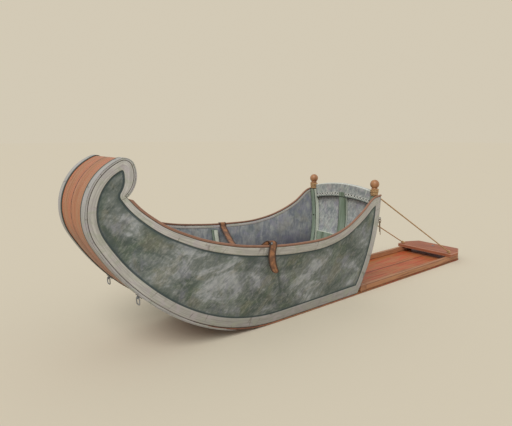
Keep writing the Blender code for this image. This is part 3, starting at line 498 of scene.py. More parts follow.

# %% [markdown]
# The finishes come next, in the order in which the eye meets them. The hide is painted green grey
# and has rubbed to cloudy light patches. The paint went on with slanting strokes of a brush, so
# two kinds of noise are added, round clouds and long narrow strokes. The mark called worn raises
# the sum where the hide has rubbed, and then the sum is turned into tones. Thin washes of green,
# violet and ochre lie over them. Towards the seams a painted shade darkens the hide, with a painted
# shadow line along the binding, and a painted shade darkens each crease.

# %% Painted hide
SLANT = (0.0, -0.80, 0.0)   # strokes rise towards the back
HIDE_CLOUDS = (0.190, 0.190, 0.115)
HIDE_STROKES = (0.070, 0.030, 0.022)
HIDE_DABS = (0.022, 0.011, 0.009)
HIDE_TONES = ((0.070, 0.090, 0.078), (0.152, 0.172, 0.160), (0.355, 0.372, 0.385))
HIDE_WASHES = (             # colour and depth of each thin layer
    ((0.110, 0.152, 0.088), 0.38), ((0.235, 0.232, 0.290), 0.40), ((0.235, 0.210, 0.130), 0.28),
)
DAB_TONES = ((0.050, 0.075, 0.070), (0.480, 0.480, 0.450))
SEAM_SHADE_TONE = (0.056, 0.080, 0.070)
SEAM_SHADOW_LINE_TONE = (0.036, 0.055, 0.060)
CREASE_SHADE_TONE = (0.055, 0.075, 0.066)
WORN_GAIN = 0.085           # how much a mark of 1 adds to the sum of the noises


def brushed(made, cloud_size, stroke_size, turn, share=0.5):
    """Clouds and brush strokes added up, around 0.5: share of strokes, the rest clouds."""
    cloud = made.math("MULTIPLY", made.noise(cloud_size, 4.0, 0.62, 0.9), 1.0 - share)
    stroke = made.math("MULTIPLY", made.noise(stroke_size, 4.0, 0.65, 0.5, turn), share)
    return made.math("ADD", cloud, stroke)


def washes(made, tone, tints, size):
    """Thin layers of colour, each in its own patches, laid over a tone one after another."""
    for k, (tint, depth) in enumerate(tints):
        patch_size = (size, size * 0.7, size * (0.8 + 0.1 * k))
        patch = made.noise(patch_size, 3.0, 0.6, 0.8, (0.4 * k, -0.6 - 0.5 * k, 0.9 * k))
        tone = made.mix(made.ease(patch, 0.50, 0.66, 0.0, depth), tone, tint)
    return tone


hide = Finish("painted_hide", (0.17, 0.19, 0.17), 0.74)
level = brushed(hide, HIDE_CLOUDS, HIDE_STROKES, SLANT, 0.30)
level = hide.math("ADD", level, hide.math("MULTIPLY", hide.attribute("worn"), WORN_GAIN))
dabs = hide.noise(HIDE_DABS, 3.0, 0.6, 0.4, SLANT)
inland = hide.attribute("inland")
tone = hide.mix(hide.ease(level, 0.405, 0.510), HIDE_TONES[0], HIDE_TONES[1])
tone = hide.mix(hide.ease(level, 0.510, 0.640), tone, HIDE_TONES[2])
tone = washes(hide, tone, HIDE_WASHES, 0.13)
tone = hide.mix(hide.ease(dabs, 0.45, 0.62, 0.0, 0.20), tone, DAB_TONES[0])
tone = hide.mix(hide.ease(dabs, 0.52, 0.36, 0.0, 0.16), tone, DAB_TONES[1])
# painted shade near the binding, broken up by noise, then a painted shadow line along it
seam_breaks = hide.ease(hide.noise(0.09, 3.0), 0.38, 0.62, 0.15, 0.85)
seam_shade = hide.math("MULTIPLY", hide.ease(inland, 0.030, 0.002), seam_breaks)
tone = hide.mix(seam_shade, tone, SEAM_SHADE_TONE)
tone = hide.mix(hide.ease(inland, 0.0075, 0.0040, 0.0, 0.85), tone, SEAM_SHADOW_LINE_TONE)
# painted shade in the creases
hide.colour(hide.mix(hide.attribute("crease"), tone, CREASE_SHADE_TONE))
hide.roughness(hide.ease(level, 0.35, 0.65, 0.66, 0.86))
hide.bump(hide.noise(0.0035, 2.0), 0.0004)
hide.bump(dabs, 0.0008)
hide.bump(level, 0.008, 0.5)
print("painted hide mixed from", len(hide.tree.nodes), "nodes")

# %% [markdown]
# Inside, the sides show a bluish lining, lighter towards the top and dark near the floor, where a
# painted shade stands for the little light that reaches down there. The cover of the back is the
# palest hide of the sled, partly as painted light on the back's lit face, and a painted highlight
# makes it paler still along the edges of the arched rail. Both are brushed and washed as the outer
# hide is, only in smaller patches, so the same two helpers serve them.

# %% Lining of the sides and cover of the back
LINING_TONES = ((0.165, 0.185, 0.215), (0.370, 0.385, 0.370))
LINING_WASHES = (
    ((0.130, 0.165, 0.140), 0.35), ((0.225, 0.215, 0.295), 0.45), ((0.300, 0.270, 0.190), 0.25),
)
LINING_SHADE_TONE = (0.066, 0.066, 0.090)
# the cover is a paler hide than the lining, and paler again as painted light on the back's lit face
COVER_TONES = ((0.250, 0.280, 0.290), (0.560, 0.585, 0.550))
COVER_WASHES = (
    ((0.400, 0.470, 0.400), 0.45), ((0.370, 0.335, 0.420), 0.45), ((0.46, 0.40, 0.37), 0.3),
)
COVER_EDGE_HIGHLIGHT = (0.640, 0.660, 0.600)

lining = Finish("blue_lining", (0.24, 0.26, 0.27), 0.78)
level = brushed(lining, (0.090, 0.090, 0.070), (0.020, 0.060, 0.070), (0.0, 0.25, 0.0), 0.5)
tone = lining.mix(lining.ease(level, 0.38, 0.62), *LINING_TONES)
tone = washes(lining, tone, LINING_WASHES, 0.10)
# painted shade, darker towards the floor
shaded = lining.ease(lining.height(), 0.37, 0.20, 0.0, 0.86)
lining.colour(lining.mix(shaded, tone, LINING_SHADE_TONE))
lining.bump(lining.noise(0.004, 2.0), 0.0004)
lining.bump(level, 0.004, 0.5)

cover = Finish("back_cover", (0.44, 0.46, 0.45), 0.76)
level = brushed(cover, (0.060, 0.060, 0.050), (0.030, 0.010, 0.034), (0.5, 0.0, 0.0), 0.6)
tone = cover.mix(cover.ease(level, 0.38, 0.62), *COVER_TONES)
tone = washes(cover, tone, COVER_WASHES, 0.07)
# painted highlight along the rounded edges of the arched rail
cover.colour(cover.mix(cover.math("MULTIPLY", cover.attribute("edge"), 0.75), tone, COVER_EDGE_HIGHLIGHT))
cover.bump(cover.noise(0.003, 2.0), 0.0004)
cover.bump(level, 0.004, 0.5)
print("lining and cover mixed")

# %% [markdown]
# The binding is a strip of pale hide. It reads its own coordinates in metres: thin tones run along
# it, and hairline creases cross it at uneven distances. A hairline is where a slow noise passes
# through its middle value. The attributes inset and width say how far a point lies from the outer
# edge and how wide the band is there, so the dark joint along the outer edge and the painted shadow
# line along the inner edge keep their width. The same hide, greyer and with a broader seam, makes
# the strips on the bow.

# %% Pale binding
EDGE_SEAM = 0.0026          # width of the dark seam along an edge
STRIP_SEAM = 0.0100
FIBRE_TONE = (0.175, 0.165, 0.155)
WARM_TONE = (0.400, 0.355, 0.375)
COOL_TONE = (0.330, 0.350, 0.270)
HAIRLINE_TONE = (0.120, 0.095, 0.075)
OUTER_SEAM_TONE = (0.052, 0.034, 0.026)
# painted shadow along the band's inner edge, also the dark inner line of the bow strips
INNER_SEAM_SHADOW_TONE = (0.045, 0.060, 0.052)


def hairlines(made, wandering, thin):
    """1 where the noise is at its middle value, fading to 0 at a distance of thin."""
    return made.ease(made.math("ABSOLUTE", made.math("SUBTRACT", wandering, 0.5)), thin, 0.0)


def pale_hide(name, low, high, seam=0.0):
    """Warm grey hide, darker below and lighter above, unevenly."""
    made = Finish(name, high, 0.72)
    fibre = made.noise((0.110, 0.0045, 1.0), 4.0, 0.65, 0.4, source="UV")
    patch = made.noise((0.060, 0.030, 0.045), 3.0, 0.6, 0.6)
    uneven = made.math("ADD", made.height(), made.math("MULTIPLY", made.noise(0.25), 0.25))
    tone = made.mix(made.ease(uneven, 0.20, 0.58), low, high)
    tone = made.mix(made.ease(fibre, 0.38, 0.62, 0.45, 0.0), tone, FIBRE_TONE)
    tone = made.mix(made.ease(patch, 0.50, 0.66, 0.0, 0.55), tone, WARM_TONE)
    tone = made.mix(made.ease(patch, 0.48, 0.34, 0.0, 0.50), tone, COOL_TONE)
    wandering = made.noise((0.150, 0.90, 1.0), 2.0, 0.5, 0.3, (0.0, 0.0, 0.25), "UV")
    breaks = made.ease(made.noise((0.06, 0.05, 0.05), 2.0), 0.46, 0.56)
    lines = made.math("MULTIPLY", hairlines(made, wandering, 0.009), breaks)
    tone = made.mix(made.math("MULTIPLY", lines, 0.5), tone, HAIRLINE_TONE)
    if seam > 0.0:
        inset, width = made.attribute("inset"), made.attribute("width")
        outer = made.ease(inset, seam, seam * 0.4)
        # the dark joint along the outer edge, and the painted shadow line along the inner edge
        inner = made.ease(made.math("SUBTRACT", width, inset), seam * 1.3, seam * 0.6)
        tone = made.mix(outer, tone, OUTER_SEAM_TONE)
        tone = made.mix(inner, tone, INNER_SEAM_SHADOW_TONE)
    made.colour(tone)
    made.bump(fibre, 0.0006)
    made.bump(made.noise(0.003, 2.0), 0.0003)
    made.bump(made.math("SUBTRACT", 1.0, lines), 0.0010)
    return made


binding = pale_hide("pale_binding", (0.350, 0.340, 0.315), (0.500, 0.485, 0.445), EDGE_SEAM)
fold_hide = pale_hide("folded_binding", (0.400, 0.385, 0.340), (0.470, 0.455, 0.405))
strip_hide = pale_hide("strip_hide", (0.365, 0.350, 0.330), (0.420, 0.410, 0.390), STRIP_SEAM)

trim_hide = Finish("scallop_trim", (0.50, 0.52, 0.46), 0.7)
patch = trim_hide.ease(trim_hide.noise(0.012, 3.0, 0.6), 0.4, 0.62)
tone = trim_hide.mix(patch, (0.225, 0.262, 0.238), (0.360, 0.400, 0.360))
trim_hide.colour(trim_hide.mix(trim_hide.attribute("ring"), tone, (0.920, 0.930, 0.850)))
trim_hide.bump(trim_hide.noise(0.002), 0.0003)
print("bindings mixed")

# %% [markdown]
# Wood shows its kind by its grain, which follows each board round the bend. Noise stretched
# along the board gives the grain, a slower noise the warm and cool planks, and a few thin dark
# lines the open pores. It reads the piece's own coordinates in metres, so the scale stays true.
# The attribute edge is 1 at the corners of a section, where wear or old stain changes the colour.
# Painted wood is made by the same helper, from the tones of the paint.

# %% Woods and paint
INK = (0.050, 0.028, 0.018)  # tar along the boards' edges


def wood(name, pale, dark, streak, edge, rough=0.55, across=0.014, edge_share=0.8):
    """Wood from its pale and dark planks, its streaks and its edges; across is the grain's width."""
    made = Finish(name, pale, rough)
    fibre = made.noise((0.33, across, 1.0), 5.0, 0.62, 0.8, source="UV")
    cloud = made.noise((0.30, 0.050, 1.0), 3.0, 0.55, 0.7, source="UV")
    pores = made.noise((0.070, 0.0024, 1.0), 2.0, source="UV")
    tone = made.mix(made.ease(cloud, 0.38, 0.62), pale, dark)
    tone = made.mix(made.ease(fibre, 0.50, 0.72, 0.0, 0.8), tone, streak)
    tone = made.mix(made.ease(pores, 0.58, 0.72, 0.0, 0.55), tone, streak)
    uneven = made.ease(made.noise(0.02, 4.0, 0.7), 0.35, 0.6, 0.6, 1.0)
    chips = made.math("MULTIPLY", made.attribute("edge"), uneven)
    made.tone = made.mix(made.math("MULTIPLY", chips, edge_share), tone, edge)
    made.colour(made.tone)
    made.roughness(made.ease(fibre, 0.3, 0.7, rough - 0.08, rough + 0.12))
    made.bump(fibre, 0.0006)
    made.bump(pores, 0.0003)
    return made


board_wood = wood("board_wood", (0.440, 0.160, 0.074), (0.385, 0.172, 0.078),
                  (0.225, 0.075, 0.034), INK, 0.5, 0.012, 1.0)
# painted shade on the lower bow, where less light reaches the boards
bow_shade = board_wood.mix(board_wood.attribute("bow_shade"), board_wood.tone, (0.62, 0.64, 0.72), "MULTIPLY")
red_patch = board_wood.noise((0.16, 0.05, 1.0), 3.0, 0.6, 0.8, source="UV")
deck_tone = board_wood.mix(board_wood.ease(red_patch, 0.45, 0.62), (1.00, 0.82, 0.55), (1.08, 0.55, 0.36))
board_wood.colour(board_wood.mix(board_wood.attribute("deck"), bow_shade, deck_tone, "MULTIPLY"))

rail_wood = wood("rail_wood", (0.265, 0.118, 0.076), (0.190, 0.082, 0.052),
                 (0.095, 0.042, 0.030), (0.30, 0.165, 0.105))
deck_rail_wood = wood("deck_rail_wood", (0.43, 0.205, 0.095), (0.36, 0.148, 0.068),
                      (0.17, 0.065, 0.030), (0.17, 0.075, 0.036))
bar_wood = wood("bar_wood", (0.370, 0.124, 0.056), (0.305, 0.096, 0.044),
                (0.150, 0.050, 0.028), (0.50, 0.27, 0.18), across=0.010)
turned_wood = wood("turned_wood", (0.46, 0.235, 0.105), (0.33, 0.145, 0.062),
                   (0.17, 0.065, 0.03), (0.1, 0.04, 0.02), 0.36)
green_paint = wood("green_paint", (0.300, 0.375, 0.290), (0.205, 0.270, 0.190),
                   (0.075, 0.100, 0.060), (0.05, 0.062, 0.045))
# a paler copy of the green paint: painted light on the faces that the lamp catches
lit_side_paint = wood("lit_side_paint", (0.640, 0.680, 0.570), (0.560, 0.590, 0.500),
                  (0.40, 0.43, 0.36), (0.50, 0.53, 0.44))
print("woods and paints mixed")

# %% [markdown]
# The small things need small grain. Rope shows its fibres, worn paler and greyer in places, the
# strap is brown leather with dark borders, and old iron is dark with rust in its hollows. Thong,
# welt and tacks are so small that one noise between two tones over a fine grain is enough, so one
# helper makes all three.

# %% Rope, leather and iron


def mottled(name, colour, rough, size, ends, tones, grain, relief, metallic=0.0):
    """Tone that a noise of this size carries from one colour to the other between two ends."""
    made = Finish(name, colour, rough, metallic)
    made.colour(made.mix(made.ease(made.noise(size), *ends), *tones))
    made.bump(made.noise(grain), relief)
    return made


rope = Finish("tan_rope", (0.42, 0.28, 0.14), 0.85)
fibres = rope.noise(0.0011, 2.0)
greyed = rope.ease(rope.noise(0.05), 0.45, 0.65, 0.0, 0.3)
tone = rope.mix(rope.ease(fibres, 0.4, 0.65), (0.300, 0.165, 0.070), (0.660, 0.430, 0.210))
rope.colour(rope.mix(greyed, tone, (0.300, 0.230, 0.120)))
rope.bump(fibres, 0.0004)

leather = Finish("strap_leather", (0.34, 0.15, 0.065), 0.5)
patch = leather.noise(0.030, 4.0, 0.65, 0.5)
tone = leather.mix(leather.ease(patch, 0.38, 0.62), (0.150, 0.066, 0.032), (0.335, 0.150, 0.066))
leather.colour(leather.mix(leather.attribute("edge"), tone, (0.042, 0.020, 0.013)))
leather.roughness(leather.ease(patch, 0.35, 0.65, 0.40, 0.62))
leather.bump(leather.noise(0.0024, 3.0), 0.0005)
leather.bump(patch, 0.002, 0.5)

iron = Finish("dark_iron", (0.16, 0.165, 0.165), 0.5, 0.85)
rust = iron.ease(iron.noise(0.009, 4.0, 0.7), 0.54, 0.70)
iron.colour(iron.mix(rust, (0.30, 0.315, 0.33), (0.20, 0.13, 0.08)))
iron.roughness(iron.ease(iron.noise(0.017, 4.0), 0.35, 0.65, 0.38, 0.7))
iron.bump(iron.noise(0.0026, 3.0), 0.0004)

thong_hide = mottled("thong_rawhide", (0.30, 0.16, 0.085), 0.65, 0.006, (0.4, 0.65),
                     ((0.14, 0.085, 0.045), (0.28, 0.17, 0.095)), 0.0015, 0.0004)
# nearly black, a painted shadow under the arched rail
welt_shadow_hide = mottled("welt_shadow_hide", (0.070, 0.085, 0.075), 0.8, 0.012, (0.4, 0.6),
                    ((0.050, 0.062, 0.055), (0.105, 0.125, 0.110)), 0.002, 0.0004)
tack_iron = mottled("tack_iron", (0.035, 0.034, 0.032), 0.55, 0.003, (0.45, 0.6),
                    ((0.025, 0.027, 0.027), (0.060, 0.045, 0.035)), 0.001, 0.0002, 0.3)
print("rope, leather and iron mixed")

# %% [markdown]
# The pale binding runs right round each side. Its outer line is the side's edge, in four
# stretches: along the boards, back inside the curl to the throat, along the top, and down at the
# rear. Its inner line lies at a set distance w inland of that, p - w n. In the rear corners two such
# lines meet in a mitre. Round the throat, where the edge turns outwards, the inner line is an arc.
# In the tip of the scroll a cubic curve rounds the meeting of two lines.

# %% Widths of the binding
BOARD_WIDTHS = (0.056, 0.055, 0.052, 0.044, 0.038, 0.031)   # evenly spaced, foot to tip
CURL_WIDTHS = (0.029, 0.030, 0.024)                         # tip to throat
TOP_WIDTHS = (0.024, 0.036, 0.044, 0.047, 0.048)            # throat to rear corner
REAR_WIDTHS = (0.046, 0.048)
MITRE_EASE = 0.16           # length over which the rows turn from the mitre to square


def square_to(points):
    """Unit normals of a line in the x-z plane, to the left of its direction."""
    run = np.gradient(points, axis=0)
    return np.stack((-run[:, 1], run[:, 0]), axis=1) / np.linalg.norm(run, axis=1)[:, None]


def lengths(points):
    """Distance along a line at each of its points."""
    return np.concatenate(([0.0], np.cumsum(np.linalg.norm(np.diff(points, axis=0), axis=1))))


def offset_line(points, widths):
    """The line p - w n, with the widths spaced evenly along it."""
    run = lengths(points)
    width = np.interp(run / run[-1], span(0.0, 1.0, len(widths)), widths)
    return points - square_to(points) * width[:, None]


def at_length(points, run, where):
    """Point of a line at distances along the line that it was offset from."""
    return np.stack([np.interp(where, run, points[:, k]) for k in range(2)], axis=1)


def meeting(first, second):
    """Where two lines come closest, as an index into each."""
    apart = np.linalg.norm(first[:, None] - second[None], axis=2)
    return np.unravel_index(np.argmin(apart), apart.shape)


def eased(where, total, skip_start, skip_end):
    """Distances at which the inner line is read, so that it starts and ends at the mitres."""
    start = np.clip(1.0 - where / MITRE_EASE, 0.0, 1.0) ** 2
    end = np.clip(1.0 - (total - where) / MITRE_EASE, 0.0, 1.0) ** 2
    return where + skip_start * start - skip_end * end


print("binding", min(CURL_WIDTHS), "to", max(BOARD_WIDTHS), "m wide")

# %% [markdown]
# The two lines are now worked out point for point, because the band's grid needs as many points
# inside as outside. The four stretches are offset one by one, their meeting points are found by
# searching for the closest pair, and each inner line is read only between its meeting points.

# %% Lines of the binding
TIP_CUT = 0.055             # from the meeting point back to where the tip's curve starts
TIP_REACH = 1.06            # how far the tip's curve is drawn towards that point
BAND_FINE = 1500            # points of each stretch while the meetings are searched
BAND_STEP = 0.0065          # between two rows of the finished band
BAND_ROWS = 24              # at least this many in a stretch
TIGHT_BEND = 0.986          # share of a stretch after which its offset turns back on itself
ARC_POINTS = 16             # round the throat


def cubic(t, first, a, b, last):
    """Bezier curve: (1-t)^3 first + 3 t (1-t)^2 a + 3 t^2 (1-t) b + t^3 last."""
    t = np.asarray(t)[:, None]
    return (first * (1 - t) ** 3 + 3 * a * t * (1 - t) ** 2
            + 3 * b * t ** 2 * (1 - t) + last * t ** 3)


def band_lines():
    """Outer and inner line of the band, point for point, from the foot right round to it."""
    board = on_board(span(TAIL_LENGTH - back_edge(FLOOR), APEX_RUN, BAND_FINE))
    curl = on_board(span(APEX_RUN, RUN_END, BAND_FINE))
    top = top_edge(span(1.0, 0.0, BAND_FINE))
    z = span(rear_top[1], FLOOR, BAND_FINE)
    rear = np.stack((back_edge(z), z), axis=1)
    stretches = (board, curl, top, rear)
    widths = (BOARD_WIDTHS, CURL_WIDTHS, TOP_WIDTHS, REAR_WIDTHS)
    runs = [lengths(line) for line in stretches]
    offsets = [offset_line(line, width) for line, width in zip(stretches, widths)]
    rows = [span(0.0, run[-1], max(BAND_ROWS, int(run[-1] / BAND_STEP))) for run in runs]

    before_bend = offsets[0][:int(BAND_FINE * TIGHT_BEND)]
    skipped = BAND_FINE // 6
    i, j = meeting(before_bend, offsets[1][skipped:])
    cut_board = runs[0][i] - TIP_CUT
    cut_curl = runs[1][j + skipped] + TIP_CUT
    first = at_length(offsets[0], runs[0], [cut_board])[0]
    last = at_length(offsets[1], runs[1], [cut_curl])[0]
    tip = offsets[0][i]
    pulls = (first + (tip - first) * TIP_REACH, last + (tip - last) * TIP_REACH)

    k_foot, k_rear = meeting(before_bend, offsets[3])
    k_top, k_high = meeting(offsets[2], offsets[3])
    skip = ((runs[0][k_foot], 0.0), (0.0, 0.0), (0.0, runs[2][-1] - runs[2][k_top]),
            (runs[3][k_high], runs[3][-1] - runs[3][k_rear]))
    inner = []
    for n in range(4):
        where = eased(rows[n], runs[n][-1], *skip[n])
        inner.append(at_length(offsets[n], runs[n], where))
    ahead = rows[0] > cut_board
    t = 0.5 * (rows[0][ahead] - cut_board) / (runs[0][-1] - cut_board)
    inner[0][ahead] = cubic(t, first, *pulls, last)
    behind = rows[1] < cut_curl
    inner[1][behind] = cubic(0.5 + 0.5 * rows[1][behind] / cut_curl, first, *pulls, last)
    outer = [at_length(line, run, row) for line, run, row in zip(stretches, runs, rows)]

    spokes = [inner[1][-1] - throat, inner[2][0] - throat]
    turn = np.unwrap([np.arctan2(s[1], s[0]) for s in spokes])
    angle = span(*turn, ARC_POINTS)[1:-1]
    arc = throat + CURL_WIDTHS[-1] * np.stack((np.cos(angle), np.sin(angle)), axis=1)
    pivot = np.tile(throat, (len(arc), 1))
    outer_line = np.concatenate((outer[0], outer[1][1:], pivot, outer[2], outer[3][1:-1]))
    inner_line = np.concatenate((inner[0], inner[1][1:], arc, inner[2], inner[3][1:-1]))
    return outer_line, inner_line


band_outer, band_inner = band_lines()
tip_of_hide = band_inner[np.argmax(band_inner[:, 1])]
print("binding line", len(band_outer), "points, tip of the hide at", tip_of_hide.round(3))

# %% [markdown]
# Three things set a hide apart from a board: it bellies out between its seams, it creases where
# it is pulled, and its paint rubs off where it stands proud. Each is a function of a place on the
# side: soft sines that fade towards the seams, a narrow bell across a line for a crease, and a
# sum of wide bells for the wear. How far a place lies from the seams is its distance to the
# binding's inner line.

# %% Slack, creases and wear of the hide
SLACK = 0.0045              # how far the hide bellies out between its seams
SLACK_HOLD = 0.045          # distance from a seam at which it bellies half of that
PUCKER_INLAND = 0.012       # where the stitches' pull shows most
PUCKER_REACH = 0.010
PUCKER_HEIGHT = 0.0005
CREASE_DEPTH = 0.0022
CREASES = (                 # two ends (along the sled, height), half width of the fold, its depth
    ((-0.675, 0.288), (-0.637, 0.175), 0.006, 0.9),
    ((-0.626, 0.320), (-0.675, 0.288), 0.005, 0.6),
    ((-0.811, 0.374), (-0.870, 0.309), 0.018, 0.6),
)
WORN_PATCHES = (            # along the sled, height, reach, and strength of the wear there
    (-1.10, 0.400, 0.110, 0.4),
    (-0.93, 0.300, 0.120, 0.9),
    (-0.76, 0.270, 0.080, 1.0),
    (-0.72, 0.350, 0.060, 0.7),
    (-0.50, 0.230, 0.110, 0.9),
    (-0.90, 0.130, 0.080, 1.1),
    (-0.30, 0.230, 0.080, 0.6),
    (-1.44, 0.590, 0.140, -1.0),
    (-0.82, 0.140, 0.070, -0.6),
    (-1.42, 0.420, 0.150, -0.5),
    (-0.16, 0.290, 0.110, -0.7),
    (-0.58, 0.330, 0.060, -0.6),
)


def inland_of(x, z, line):
    """Distance to the closed line for the points inside it, 0 for the others."""
    start, leg = line, np.roll(line, -1, axis=0) - line
    rise = np.where(leg[:, 1] == 0.0, 1e-9, leg[:, 1])
    result = np.zeros(x.shape)
    for k in range(len(x)):
        point = np.stack((x[k], z[k]), axis=-1)[:, None]
        t = np.clip(np.sum((point - start) * leg, axis=2) / np.sum(leg * leg, axis=1), 0.0, 1.0)
        apart = np.linalg.norm(point - start - leg * t[..., None], axis=2).min(axis=1)
        above = start[:, 1] > point[..., 1]
        crosses = above != (start[:, 1] + leg[:, 1] > point[..., 1])
        ahead = start[:, 0] + leg[:, 0] * (point[..., 1] - start[:, 1]) / rise > point[..., 0]
        result[k] = np.where(np.sum(crosses & ahead, axis=1) % 2 == 1, apart, 0.0)
    return result


def crease_at(x, z):
    """Up to 1 along each crease: its depth times exp(-(distance / half width)^2)."""
    result = np.zeros(np.broadcast(x, z).shape)
    for start, end, wide, depth in CREASES:
        leg = np.subtract(end, start)
        t = ((x - start[0]) * leg[0] + (z - start[1]) * leg[1]) / (leg @ leg)
        near = np.clip(t, 0.0, 1.0)
        off = np.hypot(x - start[0] - near * leg[0], z - start[1] - near * leg[1])
        result = np.maximum(result, depth * np.exp(-(off / wide) ** 2))
    return result


def worn_at(x, z):
    """Sum of soft oval patches of wear, positive where the paint has rubbed off."""
    result = np.zeros(np.broadcast(x, z).shape)
    for place, height, reach, strength in WORN_PATCHES:
        oval = ((x - place) / reach) ** 2 + ((z - height) / (reach * 0.6)) ** 2
        result += strength * np.exp(-oval)
    return result


def slack_at(x, z, inland):
    """Soft swell between the seams with slanting folds, and puckers where the stitches pull.

    A fold is a product of two sines of slanting distances, and a pucker one quick sine.
    """
    hold = inland / (inland + SLACK_HOLD)
    folds = np.sin(34.0 * x + 21.0 * z + 1.3 * np.sin(9.0 * z)) * np.sin(13.0 * x - 17.0 * z)
    near_seam = np.exp(-((inland - PUCKER_INLAND) / PUCKER_REACH) ** 2)
    pucker = near_seam * np.sin(190.0 * x + 60.0 * z)
    return SLACK * hold * (0.65 + 0.35 * folds) + PUCKER_HEIGHT * pucker * hold


print(len(CREASES), "creases and", len(WORN_PATCHES), "patches of wear")

# %% [markdown]
# Each side is one hide, sewn to the boards below and to the rail above. It is a closed sheet:
# its outer face follows the section, its inner face lies five millimetres inside, and both carry
# the same slack and creases. Each point keeps how far inland it lies, how deep in a crease, and
# how worn the paint is there, and the finish reads all three.

# %% Hide sides
HIDE_ROWS = (300, 90)       # from the back to below the throat, and on into the tip
HIDE_COLUMNS = 44
SIDES = (("left", -1.0), ("right", 1.0))


def build_hide(word, side):
    """Outer face at half width + swell, inner face HIDE_THICK inside with half the swell."""
    q = np.concatenate((span(0.0, 1.0, HIDE_ROWS[0]), span(1.0, 2.0, HIDE_ROWS[1])[1:]))
    v = span(0.0, 1.0, HIDE_COLUMNS + 1)
    x, z = np.moveaxis(side_place(q[:, None], v[None, :]), -1, 0)
    inland = inland_of(x, z, band_inner)
    crease = crease_at(x, z)
    worn = worn_at(x, z)
    swell = slack_at(x, z, inland) - CREASE_DEPTH * crease
    outer = np.stack((x, side * (half_width(x, z) + swell), z), axis=-1)
    inner = np.stack((x, side * (half_width(x, z) - HIDE_THICK + swell * 0.5), z), axis=-1)
    ring = np.concatenate((outer, inner[:, ::-1]), axis=1)
    inside = np.arange(ring.shape[1])[None, :] >= len(v)
    marks = {"inland": np.concatenate((inland, inland[:, ::-1]), axis=1),
             "crease": np.concatenate((crease, crease[:, ::-1]), axis=1),
             "worn": np.concatenate((worn, worn[:, ::-1]), axis=1)}
    return piece(f"hide_{word}", ring, hide, (f"side_panel_{word}",),
                 marks=marks, second=lining, second_cells=inside)


for word, side in SIDES:
    build_hide(word, side)

# %% [markdown]
# Across the band the profile is a low cushion, thick (1 - |2t - 1|^5)^0.5, as a folded strip of
# hide makes when it is stitched down on both edges. The dark joint along its outer edge and the
# painted shadow line along its inner edge are drawn by the finish, which reads how far across the
# band each point lies.

# %% Binding round the sides
BINDING_THICK = 0.0022
ACROSS = 13                 # points across the band


def side_skin(points, side, out):
    """Points of the x-z plane lifted on to a side, out from the hide's outer face."""
    x, z = np.moveaxis(points, -1, 0)
    return np.stack((x, side * (half_width(x, z) + out), z), axis=-1)


def build_binding(word, side):
    """Rows from the outer to the inner line, raised by the crown, closed by a flat underside."""
    t = span(0.0, 1.0, ACROSS)
    place = band_outer[:, None] + (band_inner - band_outer)[:, None] * t[:, None]
    crown = BINDING_THICK * (1.0 - np.abs(2.0 * t - 1.0) ** 5) ** 0.5
    top = side_skin(place, side, 2 * GAP + crown)
    under = side_skin(place, side, GAP)
    middle = place[:, ACROSS // 2]
    width = np.linalg.norm(band_inner - band_outer, axis=1)[:, None]
    ring = np.concatenate((top, under[:, ::-1]), axis=1)
    across = np.concatenate((width * t, width * t[::-1]), axis=1)
    marks = {"inset": across, "width": width}
    return piece(f"binding_{word}", ring, binding, (f"side_binding_{word}",),
                 along=lengths(middle)[:, None], across=across, looped=True, marks=marks)


for word, side in SIDES:
    build_binding(word, side)

# %% [markdown]
# A rounded section carried along a line makes every rail, bar and board. The section is a
# rectangle with its corners turned into quarter circles; its four sides may change from station
# to station, so one function serves a straight batten and a board that curls and thins.

# %% Rounded sections
SHOULDER = 0.0025           # from the end of a rounded corner to where its wear ends
ARC_STEPS = 5
CORNER = ARC_STEPS + 2      # points of a corner with its two shoulders
arc_turn_at = np.concatenate([[k, *span(k, k + 1, ARC_STEPS), k + 1] for k in range(4)])
on_right = np.repeat((1.0, 0.0, 0.0, 1.0), CORNER)
on_top = np.repeat((1.0, 1.0, 0.0, 0.0), CORNER)
before_after = np.tile([-1.0] + [0.0] * ARC_STEPS + [1.0], 4)
on_side_face = np.tile([1.0] + [0.0] * (2 * CORNER - 2) + [1.0], 2)
WORN = {"edge": 1.0 - np.abs(before_after)}


def rounded(low, high, bottom, top, radius):
    """Points of a rounded rectangle at each station.

    Centre of the corner + radius (cos a, sin a) round each corner, and one more point on the
    flat before and after it, at most 45% of the flat away.
    """
    low, high, bottom, top, radius = (np.asarray(v, dtype=float).reshape(-1, 1)
                                      for v in (low, high, bottom, top, radius))
    angle = arc_turn_at * np.pi / 2
    flat = np.where(on_side_face > 0.0, top - bottom, high - low) - 2 * radius
    shift = before_after * np.minimum(SHOULDER, 0.45 * flat)
    a = on_right * (high - radius) + (1 - on_right) * (low + radius)
    b = on_top * (top - radius) + (1 - on_top) * (bottom + radius)
    return (a + radius * np.cos(angle) - shift * np.sin(angle),
            b + radius * np.sin(angle) + shift * np.cos(angle))


def batten(name, start, end, across, up, section, finish, replaces=()):
    """Straight piece from start to end, its rounded section along the unit vectors across and up."""
    start, end, across, up = (np.asarray(v, dtype=float) for v in (start, end, across, up))
    t = span(0.0, 1.0, 2)[:, None]
    path = start + (end - start) * t
    a, b = rounded(*section)
    points = path[:, None] + a[..., None] * across + b[..., None] * up
    length = np.linalg.norm(end - start) * t
    return piece(name, points, finish, replaces, along=length, across=a + b, marks=WORN)


print("a rounded section has", len(arc_turn_at), "points")

# %% [markdown]
# Two boards side by side make the bottom and the bow. Each follows the line of the boards from
# the tail, where its outer corner is rounded, to the end of the scroll, and is shaved from
# 10 mm down to 5.5 mm on the way, so that steam could bend it. The seam between them and their
# tarred edges show as dark lines. A painted shade darkens the lower bow, and boots redden the
# open deck. A grey strip of hide covers each outer edge of the bow and is turned round on to the
# boards' side, so the cells there take the strip's finish. They grow in from the edge where it starts.

